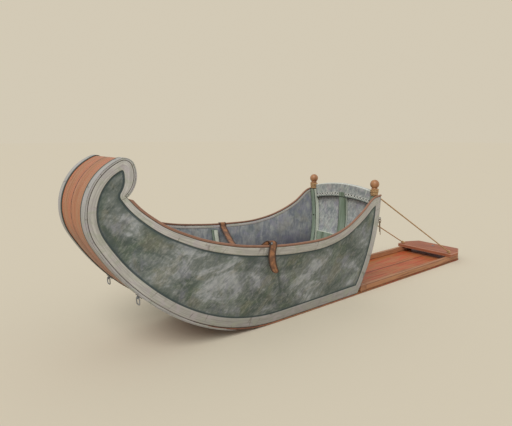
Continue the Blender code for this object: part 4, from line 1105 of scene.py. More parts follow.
# %% Bottom boards and the strips on the bow
SEAM = 0.0012
TAIL_CORNER = 0.055
BOARD_EDGE = 0.0018
STRIP_WIDTH = 0.048
STRIP_THICK = 0.003
STRIP_START = 15.0          # heading of the boards, in degrees, where the strips start
STRIP_FADE = 0.30           # length over which the strips taper in from the edge
BOW_SHADE_FROM = 10.0            # headings between which a painted shade darkens the boards, and its fade
BOW_SHADE_TO = 78.0
BOW_SHADE_FADE = 40.0
DECK_FADE = 0.05


def board_half(run, x, z):
    """Half width of the boards: past the hide by a lip, with rounded rear corners."""
    into = np.clip(TAIL_CORNER - run, 0.0, TAIL_CORNER)
    corner = TAIL_CORNER - np.sqrt(TAIL_CORNER ** 2 - into ** 2)
    return np.where(x > 0.0, SIDE_TABLE[0, 1], half_width(x, z)) + LIP - corner


def build_board(word, side):
    """Rounded section along the line of the boards, with the marks for the painted shade on the lower bow,
    the deck and the strips.
    """
    run = np.concatenate((TAIL_CORNER * (1.0 - np.cos(span(0.0, np.pi / 2, 14))),
                          span(TAIL_CORNER, RUN_END, 420)[1:]))
    thick = thickness_at(run)
    half = board_half(run, *np.moveaxis(off_board(run, thick / 2), -1, 0))
    edge = np.minimum(BOARD_EDGE, thick * 0.4)
    a, b = rounded(np.full_like(run, SEAM / 2), half, np.zeros_like(run), thick, edge)
    place = off_board(run[:, None], b)
    points = np.stack((place[..., 0], side * a, place[..., 1]), axis=-1)
    run = run[:, None]
    heading = heading_at(run)
    bow_shade = np.clip((BOW_SHADE_TO - heading) / BOW_SHADE_FADE, 0.0, 1.0) * np.clip(heading / BOW_SHADE_FROM, 0.0, 1.0)
    deck = np.clip((TAIL_LENGTH + DECK_FADE - run) / DECK_FADE, 0.0, 1.0)
    inner_face = (on_top > 0.0) & (before_after > 0.0)
    grown = (run - run_at(STRIP_START)) / STRIP_FADE
    strapped = ((on_right > 0.0) & ~inner_face)[None, :] & (b / thick[:, None] < grown)
    marks = {**WORN, "inset": STRIP_WIDTH / 2, "width": STRIP_WIDTH, "bow_shade": bow_shade, "deck": deck}
    return piece(f"board_{word}", points, board_wood, (f"bottom_board_{word}",), along=run,
                 across=a * side + b, marks=marks, second=strip_hide, second_cells=strapped)


def build_strip(word, side):
    """Rounded section on the boards' underside, whose dark seam shows on the inner edge only."""
    run = span(run_at(STRIP_START), RUN_END, 300)
    half = board_half(run, *np.moveaxis(off_board(run, 0.0), -1, 0))
    a, b = rounded(half - STRIP_WIDTH, half, np.full_like(run, -GAP - STRIP_THICK),
                   np.full_like(run, -GAP), np.full_like(run, STRIP_THICK * 0.45))
    place = off_board(run[:, None], b)
    points = np.stack((place[..., 0], side * a, place[..., 1]), axis=-1)
    marks = {"inset": np.maximum(half[:, None] - a, STRIP_SEAM * 1.1), "width": STRIP_WIDTH}
    return piece(f"bow_strip_{word}", points, strip_hide, (f"edge_strip_{word}",),
                 along=run[:, None], across=a - half[:, None], marks=marks)


for word, side in SIDES:
    build_board(word, side)
    build_strip(word, side)

# %% [markdown]
# A thin rail runs along the top edge of each side, and the binding is folded over the edge and
# shows inside as a narrow light line. Both follow the top edge: the rail stands on it, square to
# its slope, and the fold hangs down from it inside the hide.

# %% Gunwale rails and the fold inside
RAIL_WIDTH = 0.010
RAIL_HEIGHT = 0.010
RAIL_INSET = 0.0052
RAIL_ROUND = 0.0032
FOLD_DEPTH = 0.014
FOLD_THICK = 0.0015
FOLD_END = 0.992            # share of the length at which the fold stops, short of the throat
PANEL_FIT = 0.0008
EDGE_STATIONS = 260


def rail_end(rise):
    """Share of the length at which the rail meets the outer face of the boards' end."""
    turn = np.radians(heading_at(RUN_END))
    face = throat + (CURL_THICK + 2 * GAP) * np.array((-np.sin(turn), -np.cos(turn)))
    ahead = face[0] + (throat[1] + rise - face[1]) / np.tan(-turn)
    return share_at(ahead)


def build_rail(word, side):
    """Rounded section on the top edge e: e + b n, with the normal n from e's slope."""
    a, b = rounded(-RAIL_INSET, RAIL_WIDTH - RAIL_INSET, GAP, GAP + RAIL_HEIGHT, RAIL_ROUND)
    share = span(0.0, 1.0, EDGE_STATIONS)[:, None] * rail_end(b)
    edge, step = top_edge(share), top_edge(share - 0.001) - top_edge(share + 0.001)
    up = np.stack((-step[..., 1], step[..., 0]), axis=-1) / np.linalg.norm(step, axis=-1)[..., None]
    y = half_width(edge[..., 0], edge[..., 1])
    x, z = edge[..., 0] + up[..., 0] * b, edge[..., 1] + up[..., 1] * b
    points = np.stack((x, side * (y + a), z), axis=-1)
    piece(f"gunwale_{word}", points, rail_wood, (f"gunwale_rail_{word}",),
          along=lengths(edge[:, 0])[:, None], across=a + b, marks=WORN)


def build_fold(word, side):
    """Low cushion down from the top edge along the hide's inner face."""
    edge = top_edge(span(0.0, FOLD_END, EDGE_STATIONS))
    up = -square_to(edge)
    run = lengths(edge)
    shown_rows = slice(4, -2)
    t = span(0.0, 1.0, 7)
    depth = FOLD_DEPTH * t
    x = edge[shown_rows, :1] - up[shown_rows, :1] * depth
    z = edge[shown_rows, 1:] - up[shown_rows, 1:] * depth
    inner = half_width(x, z) - HIDE_THICK - PANEL_FIT
    crown = FOLD_THICK * (1.0 - np.abs(2.0 * t - 1.0) ** 6) ** 0.5
    shown = np.stack((x, side * (inner - crown), z), axis=-1)
    hidden = np.stack((x, side * inner, z), axis=-1)
    ring = np.concatenate((shown, hidden[:, ::-1]), axis=1)
    piece(f"fold_{word}", ring, fold_hide, (f"inner_fold_{word}",),
          along=run[shown_rows, None], across=np.concatenate((depth, depth[::-1]))[None, :])


for word, side in SIDES:
    build_rail(word, side)
    build_fold(word, side)

# %% [markdown]
# The back stands between the sides: a hide panel, two posts, an arched top rail, a stile in the
# middle and a sill. All of them lean with the back's rear edge, so each is built from level
# sections whose depth is measured forward from that edge.

# %% Measures of the back
PANEL_SET = 0.007
PANEL_THICK = 0.005
POST_SIZE = 0.036
POST_TOP = REAR_HEIGHT
ARCH_TOP = REAR_HEIGHT + 0.055
ARCH_RISE = 0.034
ARCH_DEPTH = 0.082
ARCH_THICK = 0.024
LOW_FACE, HIGH_FACE, TOP_FACE = (12, 13, 14), (26, 27, 0), (5, 6, 7)     # cells of a rounded section


def panel_front(z):
    """The cover's front face, set in from the sides' rear edge."""
    return back_edge(z) - PANEL_SET - PANEL_THICK


def rail_front(z):
    """The arched rail's front face."""
    return back_edge(z) - PANEL_SET - ARCH_THICK


def inner_half(z):
    """Half width between the sides at the back."""
    return half_width(panel_front(z), z) - HIDE_THICK - PANEL_FIT


arch_reach = float(inner_half(ARCH_TOP - ARCH_RISE - ARCH_DEPTH))


def arch_height(y):
    """The arched rail's top: a parabola that falls by ARCH_RISE on each side."""
    return ARCH_TOP - ARCH_RISE * (y / arch_reach) ** 2


def rail_foot(y):
    """The arched rail's lower edge, ARCH_DEPTH below its top."""
    return arch_height(y) - ARCH_DEPTH


def faces_of(*groups):
    """True for the cells of a rounded section that lie on the named faces."""
    chosen = np.zeros(len(arc_turn_at), dtype=bool)
    chosen[list(sum(groups, ()))] = True
    return chosen


def upright(name, z, low, high, thick, finish, replaces=(), radius=0.003, rear=panel_front,
            second=None, second_cells=None, second_caps=False):
    """Member against a face of the back: a rounded section at every height z, low and high in y."""
    flat = np.ones(len(z))
    a, b = rounded(low * flat, high * flat, flat * 0.0, flat * thick, flat * radius)
    points = np.stack((rear(z)[:, None] - GAP - b, a, np.broadcast_to(z[:, None], a.shape)), axis=-1)
    return piece(name, points, finish, replaces, along=z[:, None], across=a + b, marks=WORN,
                 second=second, second_cells=second_cells, second_caps=second_caps)


print("half width at the arched rail", round(arch_reach, 4), "m")

# %% [markdown]
# The cover is a sheet whose top edge follows the arched rail's foot. The rail is a rounded section
# carried across the sled, and the stile and the sill are uprights of a different width. Green paint
# covers their fronts; the stile's sides and the sill's top and bottom take a paler copy of the green,
# painted light where the lamp catches them.

# %% Cover, arched rail, stile and sill
STILE_WIDTH = 0.060
STILE_THICK = 0.018
SILL_LOW = 0.245
SILL_HEIGHT = 0.062
RAIL_CORNER = 0.005
SHADED_INLAND = 0.08        # the cover's rear face counts as being far from any seam


def build_panel():
    """Sheet whose height runs from the floor to the rail's foot, and whose width fits the sides."""
    y_share, t = span(-1.0, 1.0, 81), span(0.0, 1.0, 61)[:, None]
    y = y_share * inner_half(FLOOR + t * (ARCH_TOP - ARCH_DEPTH - ARCH_RISE - FLOOR))
    z = FLOOR + t * (arch_height(y) - ARCH_DEPTH - GAP - FLOOR)
    front = np.stack((panel_front(z), y, z), axis=-1)
    back = np.stack((panel_front(z) + PANEL_THICK, y, z), axis=-1)
    ring = np.concatenate((front, back[:, ::-1]), axis=1)
    behind = np.arange(2 * len(y_share))[None, :] >= len(y_share)
    piece("back_hide", ring, cover, ("back_panel",), marks={"inland": SHADED_INLAND},
          second=hide, second_cells=behind)


def build_arch():
    """Rounded section across the sled, as high as the arch at each y. Returns its half length."""
    between = arch_reach - POST_SIZE - PANEL_FIT
    y = span(-between, between, 61)
    flat = np.ones(len(y))
    a, b = rounded(flat * 0.0, flat * ARCH_THICK, flat * 0.0, flat * ARCH_DEPTH, flat * RAIL_CORNER)
    z = rail_foot(y)[:, None] + b
    points = np.stack((back_edge(z) - PANEL_SET - a, np.broadcast_to(y[:, None], z.shape), z), axis=-1)
    # the edge mark carries the cover's painted highlight along the rail's edges
    piece("arch_rail", points, cover, ("back_arch_rail",), marks=WORN)
    return between


build_panel()
trim_reach = build_arch()
sill_top = SILL_LOW + SILL_HEIGHT
both_sides = faces_of(LOW_FACE, HIGH_FACE)
stile_z = span(sill_top + GAP, arch_height(STILE_WIDTH / 2) - ARCH_DEPTH - GAP, 24)
upright("centre_stile", stile_z, -STILE_WIDTH / 2, STILE_WIDTH / 2, STILE_THICK, green_paint,
        ("back_centre_stile",), second=lit_side_paint, second_cells=both_sides)
sill_z = span(SILL_LOW, sill_top, 8)
sill_half = inner_half(sill_z) - POST_SIZE - PANEL_FIT
upright("sill_rail", sill_z, -sill_half, sill_half, STILE_THICK, green_paint,
        ("back_sill",), second=lit_side_paint, second_cells=False, second_caps=True)

# %% [markdown]
# A pale edging runs along the foot of the arched rail. Its upper edge is cut into round scallops,
# each held by a dark tack with a ring pressed round it, and it stops at the stile, whose head laps
# over the rail. Below it a dark welt closes the joint between the rail and the cover, and its dark
# colour is a painted shadow under the rail.

# %% Scallops, tacks and welt
SCALLOPS = 20
HEAD_SCALLOPS = 2           # as many places as the stile's head takes
SCALLOP_LOW = 0.0008
SCALLOP_BASE = 0.013
SCALLOP_RISE = 0.011
SCALLOP_THICK = 0.0016
TACK_HEIGHT = 0.0165
TACK_RADIUS = 0.0034
TACK_RISE = TACK_RADIUS * 0.8
TACK_SEAT = SCALLOP_THICK * 0.4
RING_RADIUS = 0.0078        # of the ridge pressed round a tack, and its half width
RING_SPREAD = 0.0021
HEAD_HEIGHT = 0.026
HEAD_THICK = 0.004
WELT_RADIUS = 0.0028
POLE = 1e-5                 # keeps the top of a dome from closing in one point

pitch = 2 * trim_reach / SCALLOPS


def domes(front, y, z, radius, rise, rings, around):
    """Round heads on a face that looks forward: radius cos u + a trace wide, rise sin u proud."""
    u = span(0.0, 0.5 * np.pi, rings)[:, None]
    angle = turn_of(around)
    reach = np.cos(u) * radius + POLE
    return np.stack(np.broadcast_arrays(front - rise * np.sin(u), y + reach * np.cos(angle),
                                        z + reach * np.sin(angle)), axis=-1)


def build_scallops(word, side):
    """Height base + rise sqrt(1 - u^2) over each scallop, with a ridge round each tack."""
    count = (SCALLOPS - HEAD_SCALLOPS) // 2
    u = np.append(np.tile(span(-1.0, 1.0, 17)[:-1], count), 1.0)
    y = trim_reach - pitch * count * span(1.0, 0.0, len(u))
    middle = y - u * pitch / 2
    t = span(0.0, 1.0, 15)[:, None]
    z = rail_foot(y) + SCALLOP_LOW + t * (SCALLOP_BASE + SCALLOP_RISE * np.sqrt(1.0 - u ** 2))
    from_tack = np.hypot(y - middle, z - rail_foot(middle) - TACK_HEIGHT)
    ring = np.exp(-((from_tack - RING_RADIUS) / RING_SPREAD) ** 2)
    x = rail_front(z) - GAP
    y = side * np.broadcast_to(y, z.shape)
    front = np.stack((x - SCALLOP_THICK * (0.45 + 0.55 * ring), y, z), axis=-1)
    back = np.stack((x, y, z), axis=-1)
    closed = np.concatenate((front, back[:, ::-1]), axis=1)
    piece(f"scallops_{word}", closed, trim_hide, ("scallop_edging",) if side > 0 else (),
          marks={"ring": np.concatenate((ring, ring[:, ::-1]), axis=1)})


def build_tacks(word, side):
    """One dome in the middle of each scallop."""
    k = np.arange((SCALLOPS - HEAD_SCALLOPS) // 2) + 0.5
    y = side * (trim_reach - pitch * k)[:, None, None]
    z = rail_foot(y) + TACK_HEIGHT
    heads = domes(rail_front(z) - GAP - TACK_SEAT, y, z, TACK_RADIUS, TACK_RISE, 6, 12)
    piece(f"tacks_{word}", heads, tack_iron)


for word, side in SIDES:
    build_scallops(word, side)
    build_tacks(word, side)
head_half = HEAD_SCALLOPS * pitch / 2
head_z = rail_foot(0.0) + SCALLOP_LOW + span(0.0, HEAD_HEIGHT, 7)
upright("stile_head", head_z, -head_half, head_half, HEAD_THICK, green_paint, (),
        0.0018, rail_front)
welt_y = span(-trim_reach, trim_reach, 61)
welt_z = rail_foot(welt_y) - WELT_RADIUS * 0.6
welt_path = np.stack((rail_front(welt_z) + WELT_RADIUS * 0.8, welt_y, welt_z), axis=-1)
angle = turn_of(12)
welt_ring = np.stack((np.cos(angle), np.zeros_like(angle), np.sin(angle)), axis=-1)
piece("arch_shadow_welt", welt_path[:, None] + WELT_RADIUS * welt_ring, welt_shadow_hide)

# %% [markdown]
# A square post closes each end of the back, painted green, with a paler copy of the green on its
# inner side as painted light. On it stands a finial that was turned on a lathe, so its skin is a
# profile swung round an upright axis: a neck that the stay rope grips, a groove, and the ball.

# %% Posts and their finials
NECK_FOOT_RADIUS = 0.0125
NECK_SHOULDER_RADIUS = 0.017
NECK_HEIGHT = 0.041
NECK_SHOULDER = 0.003
SHOULDER_SWELL = 0.0012
GROOVE_RADIUS = 0.015
BALL_RADIUS = 0.0255
FINIAL_HEIGHT = 0.094
NECK_SLOPE = (NECK_SHOULDER_RADIUS - NECK_FOOT_RADIUS) / NECK_HEIGHT

post_z = span(FLOOR, POST_TOP, 60)
for word, side in SIDES:
    outer = inner_half(post_z)
    low, high = (outer - POST_SIZE, outer) if side > 0 else (-outer, POST_SIZE - outer)
    inner_side = faces_of(LOW_FACE if side > 0 else HIGH_FACE)
    upright(f"post_{word}", post_z, low, high, POST_SIZE, green_paint,
            (f"back_post_{word}",), 0.004, second=lit_side_paint, second_cells=inner_side)

finial_x = float(panel_front(POST_TOP)) - GAP - POST_SIZE / 2
finial_y = float(inner_half(POST_TOP)) - POST_SIZE / 2


def lathe(name, centre, radius, height, finish, slot, replaces=()):
    """Surface of revolution about a vertical axis through the centre."""
    angle = turn_of(40)
    ring = np.stack((np.cos(angle), np.sin(angle)), axis=-1)
    level = radius[:, None, None] * ring
    z = np.broadcast_to(height[:, None, None], (*level.shape[:2], 1))
    points = np.concatenate((level, z), axis=-1) + np.asarray(centre)
    return piece(name, points, finish, replaces, along=height[:, None],
                 across=angle * float(radius.max()))


def neck_radius(rise):
    """The neck widens evenly as it rises."""
    return NECK_FOOT_RADIUS + NECK_SLOPE * rise


def finial_profile():
    """A neck that widens to a rounded shoulder, a groove and the ball, from the bottom up."""
    rise = span(0.0, NECK_HEIGHT, 12)
    swell = span(0.0, np.pi, 8)[1:]
    turn = span(np.pi - np.arcsin(GROOVE_RADIUS / BALL_RADIUS), 0.05, 34)
    radius = (neck_radius(rise), NECK_SHOULDER_RADIUS + SHOULDER_SWELL * np.sin(swell),
              BALL_RADIUS * np.sin(turn))
    height = (rise, NECK_HEIGHT + NECK_SHOULDER * swell / np.pi,
              FINIAL_HEIGHT - BALL_RADIUS + BALL_RADIUS * np.cos(turn))
    return np.concatenate(radius), np.concatenate(height)


for word, side in SIDES:
    lathe(f"finial_{word}", (finial_x, side * finial_y, POST_TOP + GAP), *finial_profile(),
          turned_wood, "turned_wood", (f"post_finial_{word}",))

# %% [markdown]
# A dark iron stud sits in the front of each post. It is one dome of the same kind as the tacks,
# only larger and with more points round it.

# %% Studs in the posts
STUD_HEIGHT = 0.410
STUD_RADIUS = 0.0055
stud_front = float(panel_front(STUD_HEIGHT)) - GAP - POST_SIZE
for word, side in SIDES:
    stud_y = side * (float(inner_half(STUD_HEIGHT)) - POST_SIZE / 2)
    head = domes(stud_front, stud_y, STUD_HEIGHT, STUD_RADIUS, STUD_RADIUS * 0.5, 7, 20)
    piece(f"post_stud_{word}", head, tack_iron)

# %% [markdown]
# Inside each side an upright stiffens the hide amidships. It leans out with the side, so each
# level section is moved out to the hide's inner face at its own height. Its foot is read from the
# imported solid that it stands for, and its head stops below the fold of the binding.

# %% Stanchions amidships
RIB_PLACE = 0.660
RIB_WIDTH = 0.030
RIB_DEPTH = 0.026
RIB_ROUND = 0.003
RIB_HEAD_ROOM = 0.008
RIB_FIT = 0.0006
for word, side in SIDES:
    rib_top = float(side_row(share_at(np.array(-RIB_PLACE)))[2]) - FOLD_DEPTH - RIB_HEAD_ROOM
    z = span(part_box(f"mid_rib_{word}")[0].z, rib_top, 20)
    inner = (half_width(-RIB_PLACE, z) - HIDE_THICK - PANEL_FIT - RIB_FIT)[:, None]
    flat = np.ones(len(z))
    a, b = rounded(flat * -RIB_WIDTH / 2, flat * RIB_WIDTH / 2, flat * 0.0, flat * RIB_DEPTH,
                   flat * RIB_ROUND)
    points = np.stack((-RIB_PLACE + a, side * (inner - b), np.broadcast_to(z[:, None], a.shape)),
                      axis=-1)
    # the inner face takes the paler copy of the green, as painted light
    piece(f"stanchion_{word}", points, green_paint, (f"mid_rib_{word}",),
          along=z[:, None], across=a + b, marks=WORN, second=lit_side_paint,
          second_cells=faces_of(TOP_FACE))

# %% [markdown]
# Behind the back the boards run on as an open deck with a rail along each edge and a bar at the
# back's foot. All three are straight battens of one section.

# %% Tail deck
RAIL_SECTION = 0.028
DECK_HEIGHT = 0.034
DECK_INSET = 0.004
DECK_END = 0.045
FRONT_BAR_PLACE = 0.040
FRONT_BAR_WIDTH = 0.055
EDGE = 0.003                # radius of the deck's corners

deck_outer = SIDE_TABLE[0, 1] + LIP - DECK_INSET
front_end = FRONT_BAR_PLACE + FRONT_BAR_WIDTH
batten("deck_front_batten", (FRONT_BAR_PLACE, -deck_outer, FLOOR), (FRONT_BAR_PLACE, deck_outer, FLOOR),
       (1, 0, 0), (0, 0, 1), (0.0, FRONT_BAR_WIDTH, 0.0, DECK_HEIGHT, EDGE), deck_rail_wood,
       ("deck_front_bar",))
for word, side in SIDES:
    inner = side * (deck_outer - RAIL_SECTION)
    batten(f"deck_side_{word}", (front_end + GAP, inner, FLOOR), (TAIL_LENGTH - DECK_END, inner, FLOOR),
           (0, side, 0), (0, 0, 1), (0.0, RAIL_SECTION, 0.0, DECK_HEIGHT, EDGE), deck_rail_wood,
           (f"deck_rail_{word}",))

# %% [markdown]
# The wide bar across the tail has clipped corners, and the stay ropes end on it. Its flat outline
# is drawn in towards both faces along quarter circles, which rounds every edge of it alike.

# %% Rear bar
REAR_BAR_THICK = 0.024
REAR_BAR_WIDTH = 0.215
REAR_BAR_HALF = 0.222
REAR_BAR_CLIP = (0.110, 0.055)
BAR_CORNER = 0.006          # how far each corner of the outline is cut


def directions(outline):
    """Unit vectors along the sides of a closed outline, from each corner to the next."""
    ahead = np.roll(outline, -1, axis=0) - outline
    return ahead / np.linalg.norm(ahead, axis=1)[:, None]


def corner_points(outline, cut):
    """Five points in place of each corner of a flat outline: a short curve and its shoulders."""
    ahead = directions(outline)
    behind = np.roll(ahead, 1, axis=0)
    rows = (outline - behind * (cut + SHOULDER), outline - behind * cut,
            outline + (ahead - behind) * cut / 4,
            outline + ahead * cut, outline + ahead * (cut + SHOULDER))
    return np.stack(rows, axis=1).reshape(-1, 2)


def shrunk(outline, distance):
    """A convex outline, anticlockwise, with every side moved inwards: v + d (m + n) / (1 + m.n)."""
    ahead = directions(outline)
    n = np.stack((-ahead[:, 1], ahead[:, 0]), axis=1)
    m = np.roll(n, 1, axis=0)
    return outline + distance * (m + n) / (1.0 + np.sum(m * n, axis=1))[:, None]


def build_rear_bar():
    """The bar's outline, drawn inwards along quarter circles towards its two faces."""
    rear = TAIL_LENGTH + REAR_BAR_OVERHANG
    fore, (clip_x, clip_y) = rear - REAR_BAR_WIDTH, REAR_BAR_CLIP
    right = np.array(((rear, REAR_BAR_HALF - clip_y), (rear - clip_x, REAR_BAR_HALF),
                      (fore, REAR_BAR_HALF)))
    outline = np.concatenate((right[::-1] * (1.0, -1.0), right))
    low = FLOOR + DECK_HEIGHT + GAP
    arc = span(0.0, np.pi / 2, 5)
    inset = np.concatenate(([EDGE + SHOULDER], EDGE * (1.0 - np.sin(arc)), [0.0]))
    rise = np.concatenate(([0.0], EDGE * (1.0 - np.cos(arc)), [EDGE + SHOULDER]))
    edge = np.array([0.0, *np.ones(5), 0.0])
    inset, edge = np.append(inset, inset[::-1]), np.append(edge, edge[::-1])
    rise = np.append(rise, REAR_BAR_THICK - rise[::-1])
    flat = np.stack([corner_points(shrunk(outline, distance), BAR_CORNER) for distance in inset])
    height = np.broadcast_to((low + rise)[:, None, None], (*flat.shape[:2], 1))
    points = np.concatenate((flat, height), axis=2)
    piece("rear_bar", points, bar_wood, ("deck_rear_bar",), along=points[..., 1],
          across=points[..., 0] + points[..., 2], marks={"edge": edge[:, None]})
    return fore, low + REAR_BAR_THICK


bar_front, bar_top = build_rear_bar()

# %% [markdown]
# A laid rope is three strands wound round each other. Its skin is a tube whose radius rises and
# falls three times round the section, and the whole section turns as it goes along the line. The
# same tube without the strands makes wire and thongs.

# %% Tubes and ropes


def frame_along(path, reference):
    """Unit vectors along a line, sideways and upwards."""
    tangent = np.gradient(path, axis=0)
    tangent /= np.linalg.norm(tangent, axis=1)[:, None]
    sideways = np.cross(tangent, np.asarray(reference, dtype=float))
    sideways /= np.linalg.norm(sideways, axis=1)[:, None]
    return sideways, np.cross(sideways, tangent)


def tube(path, radius, reference=(0, 0, 1), around=12, strands=0, pitch=0.03, groove=0.16,
         round_ends=0.0):
    """Points of a tube: with strands, r = radius (1 - groove (1 - |cos(strands a / 2)|))."""
    sideways, upwards = frame_along(path, reference)
    run = lengths(path)
    angle = turn_of(around)[None]
    size = np.full(len(path), radius)
    if round_ends > 0.0:
        near = np.minimum(run, run[-1] - run) / round_ends
        size = radius * np.sqrt(np.clip(1.0 - (1.0 - np.minimum(near, 1.0)) ** 2, 0.01, 1.0))
    skin = size[:, None] * np.ones_like(angle)
    if strands:
        lay = angle - 2 * np.pi * run[:, None] / pitch
        skin = skin * (1.0 - groove * (1.0 - np.abs(np.cos(strands * lay / 2))))
    return (path[:, None] + sideways[:, None] * (skin * np.cos(angle))[..., None]
            + upwards[:, None] * (skin * np.sin(angle))[..., None])


def smooth_line(points, count):
    """Evenly spaced points on a cubic line through a few given ones."""
    points = np.asarray(points, dtype=float)
    run = lengths(points)
    return hermite(run, points, np.gradient(points, run, axis=0), span(0.0, run[-1], count))


print("tube helpers ready, for ropes, thongs and the strap's line")

# %% [markdown]
# Each stay rope takes a turn and a half round the neck of a finial and runs taut to the rear bar,
# where it ends in a stopper knot of three wraps. Its spare end is wound on below, down to the post.

# %% Stay ropes
ROPE_RADIUS = 0.004
ROPE_LAY = 0.034            # length of one turn of a strand
ROPE_LOOP_HEIGHT = 0.024    # above the post's top
ROPE_LOOP_PITCH = 0.009
UPPER_TURNS = 1.62          # round the neck before the rope leaves
SPARE_TURNS = (-0.30, -2.15)
STAY_FOOT_INSET = (0.022, 0.030)
KNOT_RADIUS = 0.011
KNOT_LENGTH = 0.020
KNOT_SEAT = 0.8
KNOT_WRAPS = 3.2


def round_neck(turn, side):
    """Helix on the neck: turn 0 is where the rope leaves, on the side towards the sled's middle."""
    rise = ROPE_LOOP_HEIGHT + ROPE_LOOP_PITCH * turn
    ring = neck_radius(rise) + (ROPE_RADIUS + GAP) * math.hypot(1.0, NECK_SLOPE)
    angle = -2 * np.pi * turn
    return np.stack((finial_x + ring * np.sin(angle), side * (finial_y - ring * np.cos(angle)),
                     POST_TOP + GAP + rise), axis=-1)


def strands_on(path, reference=(0, 0, 1), around=18, round_ends=0.0):
    """Three-strand rope along a path."""
    return tube(path, ROPE_RADIUS, reference, around, 3, ROPE_LAY, round_ends=round_ends)


def stopper_line(foot, lean):
    """Helix about the rope's own direction, centred on its foot."""
    sideways = np.cross(lean, (0.0, 0.0, 1.0))
    sideways /= np.linalg.norm(sideways)
    over = np.cross(sideways, lean)
    wrap = span(0.0, 2 * np.pi * KNOT_WRAPS, 150)[:, None]
    reach = KNOT_RADIUS - ROPE_RADIUS
    return (foot + lean * KNOT_LENGTH * (wrap / wrap[-1] - 0.5)
            + reach * (np.cos(wrap) * sideways + np.sin(wrap) * over))


def build_stay(word, side):
    """Rope round the neck and straight to its foot, spare turns, and the stopper knot."""
    foot = np.array((bar_front + STAY_FOOT_INSET[0], side * (REAR_BAR_HALF - STAY_FOOT_INSET[1]),
                     bar_top + GAP + KNOT_RADIUS * KNOT_SEAT))
    coil = round_neck(span(UPPER_TURNS, 0.0, 180), side)
    t = span(0.0, 1.0, 420)[1:, None]
    path = np.concatenate((coil, coil[-1] + (foot - coil[-1]) * t))
    piece(f"stay_{word}", strands_on(path), rope, (f"stay_rope_{word}",))
    spare = round_neck(span(*SPARE_TURNS, 220), side)
    piece(f"stay_spare_{word}", strands_on(spare, round_ends=ROPE_RADIUS), rope)
    lean = (foot - coil[-1]) / np.linalg.norm(foot - coil[-1])
    knot = strands_on(stopper_line(foot, lean), lean, 14, ROPE_RADIUS)
    piece(f"stay_stopper_{word}", knot, rope, (f"stay_knot_{word}",))


for word, side in SIDES:
    build_stay(word, side)

# %% [markdown]
# A ring bolt goes through each post. The ring is a torus, and the plate and shank behind it are a
# profile swung round a level axis. The shank is long enough to carry the ring clear of the side.

# %% Ring bolts
EYE_RADIUS = 0.0075
EYE_WIRE = 0.002
EYE_PLATE = 0.006
EYE_PLATE_THICK = 0.002
EYE_SHANK = 0.027           # carries the ring clear of the side
SHANK_END = EYE_PLATE_THICK + EYE_SHANK
SHANK_PROFILE = np.array((  # distance from the plate's front, radius
    (0.0, EYE_PLATE),
    (EYE_PLATE_THICK * 0.6, EYE_PLATE),
    (EYE_PLATE_THICK, EYE_PLATE * 0.8),
    (EYE_PLATE_THICK + 0.0008, 0.0036),
    (EYE_PLATE_THICK + 0.003, EYE_WIRE * 1.15),
    (SHANK_END - 0.003, EYE_WIRE * 1.05),
    (SHANK_END, EYE_WIRE),
))


def hoop(centre, radius, wire, plane, around=14, turns=64):
    """Grid of a torus: a circle in the plane of two unit vectors, thickened to a wire."""
    first, second = (np.asarray(v, dtype=float) for v in plane)
    a = turn_of(turns)[:, None, None]
    b = turn_of(around)[None, :, None]
    out = first * np.cos(a) + second * np.sin(a)
    return (np.asarray(centre) + out * (radius + wire * np.cos(b))
            + np.cross(first, second) * wire * np.sin(b))


def build_ring_bolt(word):
    """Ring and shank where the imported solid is. Returns the ring's centre."""
    low, high = (np.array(corner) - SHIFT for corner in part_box(f"eye_bolt_{word}"))
    centre = np.array((high[0] - EYE_RADIUS - EYE_WIRE, (low[1] + high[1]) / 2, (low[2] + high[2]) / 2))
    ring = hoop(centre, EYE_RADIUS, EYE_WIRE, ((1, 0, 0), (0, 0, 1)))
    piece(f"eye_ring_{word}", ring, iron, (f"eye_bolt_{word}",), looped=True)
    angle = turn_of(32)[None]
    radius = SHANK_PROFILE[:, 1:]
    x = low[0] + np.broadcast_to(SHANK_PROFILE[:, :1], (len(SHANK_PROFILE), angle.size))
    shank = np.stack((x, centre[1] + radius * np.cos(angle), centre[2] + radius * np.sin(angle)),
                     axis=-1)
    piece(f"eye_shank_{word}", shank, iron)
    return centre


eye = [build_ring_bolt(word) for word, side in SIDES][0]

# %% [markdown]
# The left ring holds a short hide thong: a loop through the ring, a knot and two loose tails,
# which hang down under their own weight. The tails are free cords, so their real lengths are
# given, and they end bare.

# %% Thong
THONG_RADIUS = 0.002
LINK_RADIUS = 0.0075
LINK_FIT = 0.0005
TIE_RADIUS = 0.0065
TIE_HEIGHT = 0.009
TIE_WRAPS = 2.6
TAIL_LAY = 0.028            # length of one twist of a tail
TAIL_ROUTES = (             # rearward, to the right, down from the knot
    ((0.0, -0.0023, 0.0), (0.0005, -0.0028, 0.012), (0.0015, -0.004, 0.03),
     (0.0, -0.006, 0.05), (0.001, -0.007, 0.068)),
    ((0.0005, 0.0023, 0.0), (0.0012, 0.003, 0.012), (0.003, 0.004, 0.026),
     (0.007, 0.0045, 0.04), (0.0105, 0.005, 0.053)),
)

